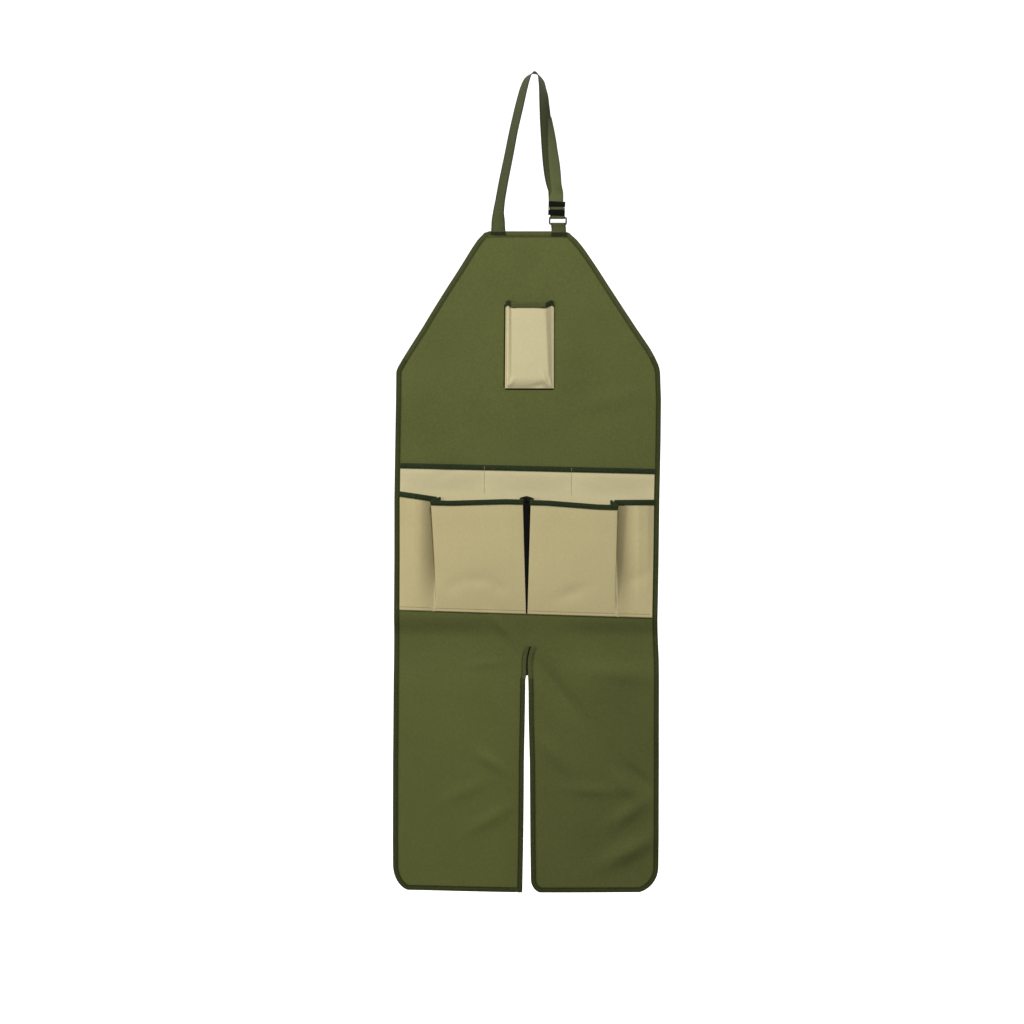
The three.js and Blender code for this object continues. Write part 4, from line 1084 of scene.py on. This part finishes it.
def make_side_pocket(pocket):
    side = pocket["side"]
    clearance = 0.006
    seam_clearance = 0.003
    shape = table(
        "share stand",
        (0, 0), (0.16, 0.6), (0.4, 1), (0.6, 0.82), (0.8, 0.38), (1, 0),
    )
    ordered = shape if side < 0 else shape[::-1]

    def spot_of_fold(fold, v):
        edge = pocket_edge(side, TOOL_DROP + (SEAM_DROP - TOOL_DROP) * v)
        tuck_mouth = edge * pocket["tuck"] + clearance
        tuck_seam = edge * (pocket["seam"] + TUCK_SPREAD) + seam_clearance
        inner = tuck_mouth + (tuck_seam - tuck_mouth) * v
        across = side * (edge + (inner - edge) * fold["share"])
        dip = pocket["side_dip"] + (pocket["tuck_dip"] - pocket["side_dip"]) * fold["share"]
        return lower_spot(across, dip, SIDE_DEPTH * fold["stand"], v, POCKET / 2)

    name = "side_pocket_" + pocket["name"]
    wall, flat_spot = fold_grid(name + "_cloth", ordered, 12, 80, spot_of_fold)
    flat = flat_size(flat_spot)
    if side > 0:
        for loop in wall.data.uv_layers.active.data:
            loop.uv.x = 1 - loop.uv.x
    tape = dress_lower_pocket(name, wall, flat_spot, SHADED_BEIGE, 60, 0.04, 0.96)


# The neck strap and its fittings.

def catmull(points, t):
    """A point on a smooth line through points, t counting them from 0."""
    index = min(int(t), len(points) - 2)
    share = t - index
    a = points[max(index - 1, 0)]
    b, c = points[index], points[index + 1]
    d = points[min(index + 2, len(points) - 1)]
    return 0.5 * (2 * b + (c - a) * share + (2 * a - 5 * b + 4 * c - d) * share ** 2
                  + (3 * b - a - 3 * c + d) * share ** 3)


def buckle_lean(height):
    """How far the strap's fittings hang to the left of the tab's foot."""
    return -0.10 * max(min(height, SLIDER_TOP) - 0.004, 0)


def buckle_station(depth, height):
    return Vector((BUCKLE_X + buckle_lean(height), depth, BIB_TOP + height)), Vector((1, 0, 0))


def wrap_stations(height, start, end):
    """The way round a bar of the ring, between two angles."""
    return [buckle_station(RING_DEPTH + WRAP_RADIUS * math.cos(angle),
                           height + WRAP_RADIUS * math.sin(angle))
            for angle in spread(start, end, 10)]


def webbing_strip(name, stations, cells=14):
    """A flat strip of webbing laid through stations, with its own lengthwise map."""
    run = runs_along([middle for middle, _ in stations])
    last = len(stations) - 1

    def spot(u, v):
        middle, wide = stations[round(u * last)]
        return middle + wide * WEBBING_WIDTH * (0.5 - v)

    strip = cloth_grid(name, last, cells, spot)
    for loop in strip.data.uv_layers.active.data:
        loop.uv = (run[round(loop.uv.x * last)], loop.uv.y * WEBBING_WIDTH)
    thicken(strip, WEBBING)
    face_outwards(strip)
    return strip


def make_neck_strap():
    points = [Vector((BODY_MIDDLE + LEFT_STRAP + row["across"] * SPACING, 0,
                      BIB_TOP + row["up"] * (LOOP_HEIGHT + WEBBING / 2))) for row in STRAP]
    stations = []
    left = Vector((BODY_MIDDLE + LEFT_STRAP, STRAP_DEPTH, BIB_TOP))
    for step in range(8):
        stations.append((left + Vector((0, 0, -STRAP_LAP * (1 - step / 7))), Vector((-1, 0, 0))))
    last = len(STRAP) - 1
    per_row = 6
    for index in range(last * per_row + 1):
        t = index / per_row
        row = min(int(t), last - 1)
        turn, next_turn = STRAP[row]["turn"], STRAP[row + 1]["turn"]
        turn = math.radians(turn + (next_turn - turn) * (t - row))
        middle = catmull(points, t)
        before, after = catmull(points, max(t - 0.02, 0)), catmull(points, min(t + 0.02, last))
        along = (after - before).normalized()
        on_left = t < last / 2
        rest = STRAP_DEPTH if on_left else STRAP_DEPTH + LAYER_STEP
        rise = middle.z - BIB_TOP - (0 if on_left else SLIDER_TOP)
        middle.y = rest * (1 - smooth(0, LOOP_HEIGHT / 2, rise))
        outward = Vector((-along.z, 0, along.x)).normalized()
        wide = outward * math.cos(turn)
        wide.y = math.sin(turn)
        stations.append((middle, wide))
    neck = RING_TOP + NECK_RISE
    slot = SLIDER_CENTRE_BAR / 2 + THREAD_GAP + WEBBING / 2
    stations += [buckle_station(STRAP_DEPTH + LAYER_STEP, height)
                 for height in spread(SLIDER_TOP, neck, 5)]
    stations.append(buckle_station(RING_DEPTH + WRAP_RADIUS, RING_TOP + LEAD))
    stations += wrap_stations(RING_TOP, 0, -math.pi)
    stations += [buckle_station(depth, height) for depth, height in (
        (RING_DEPTH - WRAP_RADIUS, RING_TOP + LEAD), (STRAP_DEPTH, neck),
        (STRAP_DEPTH, SLIDER_MIDDLE - slot), (THREAD_FRONT, SLIDER_MIDDLE - slot),
        (THREAD_FRONT, SLIDER_MIDDLE + slot), (STRAP_DEPTH, SLIDER_MIDDLE + slot),
        (STRAP_DEPTH, SLIDER_TOP),
    )]
    tail_start = len(stations) - 1
    tail = []
    for row in TAIL:
        middle, _ = buckle_station(STRAP_DEPTH - row["forward"] * WEBBING_WIDTH,
                                   SLIDER_TOP + row["up"] * TAIL_LENGTH)
        middle.x += row["across"] * SPACING
        tail.append((middle, row["turn"]))
    middles = [stations[-1][0]] + [middle for middle, _ in tail]
    turns = [0] + [turn for _, turn in tail]
    for index in range(1, len(tail) * 5 + 1):
        t = index / 5
        row = min(int(t), len(turns) - 2)
        turn = math.radians(turns[row] + (turns[row + 1] - turns[row]) * (t - row))
        stations.append((catmull(middles, t), Vector((math.cos(turn), math.sin(turn), 0))))
    runs = runs_along([middle for middle, _ in stations])
    top = max(range(len(stations)), key=lambda index: stations[index][0].z)
    # Places the painted shade beside the tail and the tail's painted light along the strap's map.
    nodes = WEBBING_CLOTH.node_tree.nodes
    for label, start, end in (("shade starts", runs[top] + 0.015, runs[top] + 0.075),
                              ("shade ends", runs[top] + 0.16, runs[top] + 0.22),
                              ("tail starts", runs[tail_start] - 0.005, runs[tail_start])):
        nodes[label].inputs[1].default_value = start
        nodes[label].inputs[2].default_value = end
    strap = webbing_strip("neck_webbing", stations)
    return finish(strap, WEBBING_CLOTH, "webbing", "neck_strap", angle=50)


def make_tab():
    back = STRAP_DEPTH + LAYER_STEP
    rise = RING_BOTTOM - NECK_RISE
    stations = [buckle_station(back, height) for height in spread(-STRAP_LAP, rise, 8)]
    stations.append(buckle_station(RING_DEPTH + WRAP_RADIUS, RING_BOTTOM - LEAD))
    stations += wrap_stations(RING_BOTTOM, 0, math.pi)
    stations.append(buckle_station(RING_DEPTH - WRAP_RADIUS, RING_BOTTOM - LEAD))
    stations += [buckle_station(STRAP_DEPTH, height) for height in spread(rise, -STRAP_LAP, 8)]
    tab = webbing_strip("ring_webbing", stations)
    return finish(tab, WEBBING_CLOTH, "webbing", "ring_tab", angle=50)


def add_block(name, size, middle):
    """A block of a size in metres around a place."""
    block = add_piece(name, bpy.ops.mesh.primitive_cube_add, size=1, location=middle)
    block.scale = size
    bpy.ops.object.transform_apply(location=True, rotation=True, scale=True)
    return block


def tilt(piece, middle, degrees):
    """Turns a finished piece's points about a place, clockwise as seen from the front."""
    angle = math.radians(degrees)
    for vertex in piece.data.vertices:
        right = vertex.co.x - middle.x
        above = vertex.co.z - middle.z
        vertex.co.x = middle.x + right * math.cos(angle) + above * math.sin(angle)
        vertex.co.z = middle.z + above * math.cos(angle) - right * math.sin(angle)


def make_slider():
    middle = buckle_station(SLIDER_FRONT + SLIDER_THICKNESS / 2, SLIDER_MIDDLE)[0]
    height = 2 * (SLIDER_BAR + WINDOW_HALF)
    slider = add_block("strap_slider", (0.031, SLIDER_THICKNESS, height), middle)
    slot_height = WINDOW_HALF - SLIDER_CENTRE_BAR / 2
    for sign in (-1, 1):
        slot_middle = middle + Vector((0, 0, sign * (SLIDER_CENTRE_BAR + slot_height) / 2))
        slot = add_block("slot", (WEBBING_WIDTH + 4 * THREAD_GAP, 0.01, slot_height), slot_middle)
        cut = slider.modifiers.new("slot", "BOOLEAN")
        cut.operation = "DIFFERENCE"
        cut.solver = "EXACT"
        cut.object = slot
        apply_modifiers(slider)
        bpy.data.objects.remove(slot)
    for vertex in slider.data.vertices:
        if abs(vertex.co.z - middle.z) > height / 2 - 0.0001:
            vertex.co.x -= math.copysign(0.0012, vertex.co.x - middle.x)
    rounding = slider.modifiers.new("rounding", "BEVEL")
    rounding.width = 0.0009
    rounding.segments = 3
    rounding.limit_method = "ANGLE"
    rounding.angle_limit = math.radians(50)
    apply_modifiers(slider)
    tilt(slider, middle, FITTINGS_TILT)
    finish(slider, PLASTIC, "black_plastic", "slider", angle=35)


def make_ring():
    """A round wire bent to a rectangle with rounded corners."""
    thick = 0.00145
    half_wide = WEBBING_WIDTH / 2 + thick + 0.0002
    half_high = (RING_TOP - RING_BOTTOM) / 2
    bend = 0.0025
    middle = buckle_station(RING_DEPTH, (RING_TOP + RING_BOTTOM) / 2)[0]
    ring = add_piece("strap_ring", bpy.ops.mesh.primitive_torus_add, major_segments=64,
                     minor_segments=16, major_radius=1, minor_radius=0.1)
    for vertex in ring.data.vertices:
        angle = math.atan2(vertex.co.y, vertex.co.x)
        beyond = (math.hypot(vertex.co.x, vertex.co.y) - 1) * thick / 0.1
        deep = vertex.co.z * thick / 0.1
        right, above = math.cos(angle), math.sin(angle)
        corner_x = math.copysign(half_wide - bend, right) if abs(right) > TINY else 0
        corner_z = math.copysign(half_high - bend, above) if abs(above) > TINY else 0
        reach = bend + beyond
        vertex.co = middle + Vector((corner_x + reach * right, deep, corner_z + reach * above))
    tilt(ring, middle, FITTINGS_TILT)
    face_outwards(ring)
    finish(ring, WIRE, "ring_metal", "ring", angle=60)


def bar_tack(name, across, down, width, height, out):
    """A dense zigzag of stitches that anchors a strap or a corner."""
    turns = max(int(width / 0.0006), 4)
    points = []
    for step in range(turns + 1):
        right = across + width * (step / turns - 0.5)
        points.append(place(right, down + height * (step % 2 - 0.5), out))
    stitch_line(name, points, TACK_THREAD, "edge_tape", pitch=0.0013, length=0.0013,
                thickness=0.0005)


def thread_pad(name, across, down, width, height, out):
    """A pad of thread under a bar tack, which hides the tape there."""
    def spot(u, v):
        return place(across + width * (u - 0.5), down + height * (v - 0.5), out)

    pad = cloth_grid(name, 10, 4, spot)
    thicken(pad, 0.0004)
    face_outwards(pad)
    finish(pad, TACK_THREAD, "edge_tape")


def make_tacks():
    front = CLOTH / 2 + TAPE_WRAP + 0.0006
    thread_pad("tack_left_strap_pad", LEFT_STRAP, 0.0036, 0.026, 0.0055, front - 0.0002)
    thread_pad("tack_right_strap_pad", RIGHT_STRAP + 0.001, 0.0050, 0.027, 0.0062, front - 0.0002)
    bar_tack("tack_left_strap", LEFT_STRAP, 0.0042, 0.026, 0.0048, front)
    bar_tack("tack_right_strap", RIGHT_STRAP, 0.0058, 0.027, 0.0058, front)
    back = -(CLOTH / 2 + TAPE_WRAP + 2 * WEBBING + 0.0012)
    for label, across, out in (
        ("left", LEFT_STRAP, back + WEBBING + 0.0006), ("right", RIGHT_STRAP, back - 0.0008),
    ):
        for corner, down in (("top", 0.010), ("bottom", 0.022)):
            line = [place(across + WEBBING_WIDTH * (step / 10 - 0.5) * 0.8, down, out)
                    for step in range(11)]
            stitch_line("strap_seam_" + label + "_" + corner, line, GREEN_THREAD, "edge_tape")


# The setting: a pale floor that curves up into a pale backdrop, soft lights, a camera.

def make_setting():
    floor = -3.4
    near = 4.2
    bend = 0.8
    flat = 0.5
    width = 9
    length = 4.8

    def spot(u, v):
        run = length * v
        across = (u - 0.5) * width
        if run < flat:
            return Vector((across, near + run, floor))
        angle = min((run - flat) / bend, math.pi / 2)
        rise = max(run - flat - bend * math.pi / 2, 0) * 2
        return Vector((across, near + flat + bend * math.sin(angle),
                       floor + bend * (1 - math.cos(angle)) + rise))

    backdrop = cloth_grid("pale_backdrop", 4, 60, spot)
    paper, tree, surface, _ = new_material("white paper")
    set_inputs(tree, surface, {
        "Base Color": (0.9, 0.9, 0.9),
        "Roughness": 0.9,
        "Emission Color": (1, 1, 1),
        "Emission Strength": 0.92,
    })
    backdrop.data.materials.append(paper)
    select_only(backdrop)
    bpy.ops.object.shade_smooth()

    lights = table(
        "name spot size power",
        ("key", (0.1, -2.9, 1.9), 0.8, 112), ("side", (-2.1, -1.7, -0.3), 0.8, 20),
    )
    aim = Vector((BODY_MIDDLE, 0, -0.75))
    for light in lights:
        lamp = bpy.data.lights.new(light["name"], "AREA")
        lamp.shape = "DISK"
        lamp.size = light["size"]
        lamp.energy = light["power"]
        holder = bpy.data.objects.new(light["name"], lamp)
        holder.location = light["spot"]
        holder.rotation_euler = (aim - Vector(light["spot"])).to_track_quat("-Z", "Y").to_euler()
        bpy.context.scene.collection.objects.link(holder)
    world = bpy.data.worlds.new("studio air")
    world.use_nodes = True
    air = world.node_tree.nodes["Background"]
    set_inputs(world.node_tree, air, {"Color": (1, 1, 1), "Strength": 0.2})
    bpy.context.scene.world = world
    bpy.context.scene.view_settings.view_transform = "Standard"

    view_height = 1.7455
    lens = 85
    film = 36
    distance = view_height * lens / film
    camera = bpy.data.objects.new("camera", bpy.data.cameras.new("camera"))
    camera.data.lens = lens
    camera.data.sensor_width = film
    camera.location = (-0.0383, -distance, -0.7483)
    camera.rotation_euler = (math.pi / 2, 0, 0)
    bpy.context.scene.collection.objects.link(camera)
    bpy.context.scene.camera = camera


make_setting()
apron_body = make_body()
edge_tapes = make_edge_tapes()
make_neck_strap()
make_tab()
make_slider()
make_ring()
make_phone_pocket()
make_upper_pocket()
for pocket in TOOL_POCKETS:
    make_tool_pocket(pocket)
    make_side_pocket(pocket)
make_tacks()
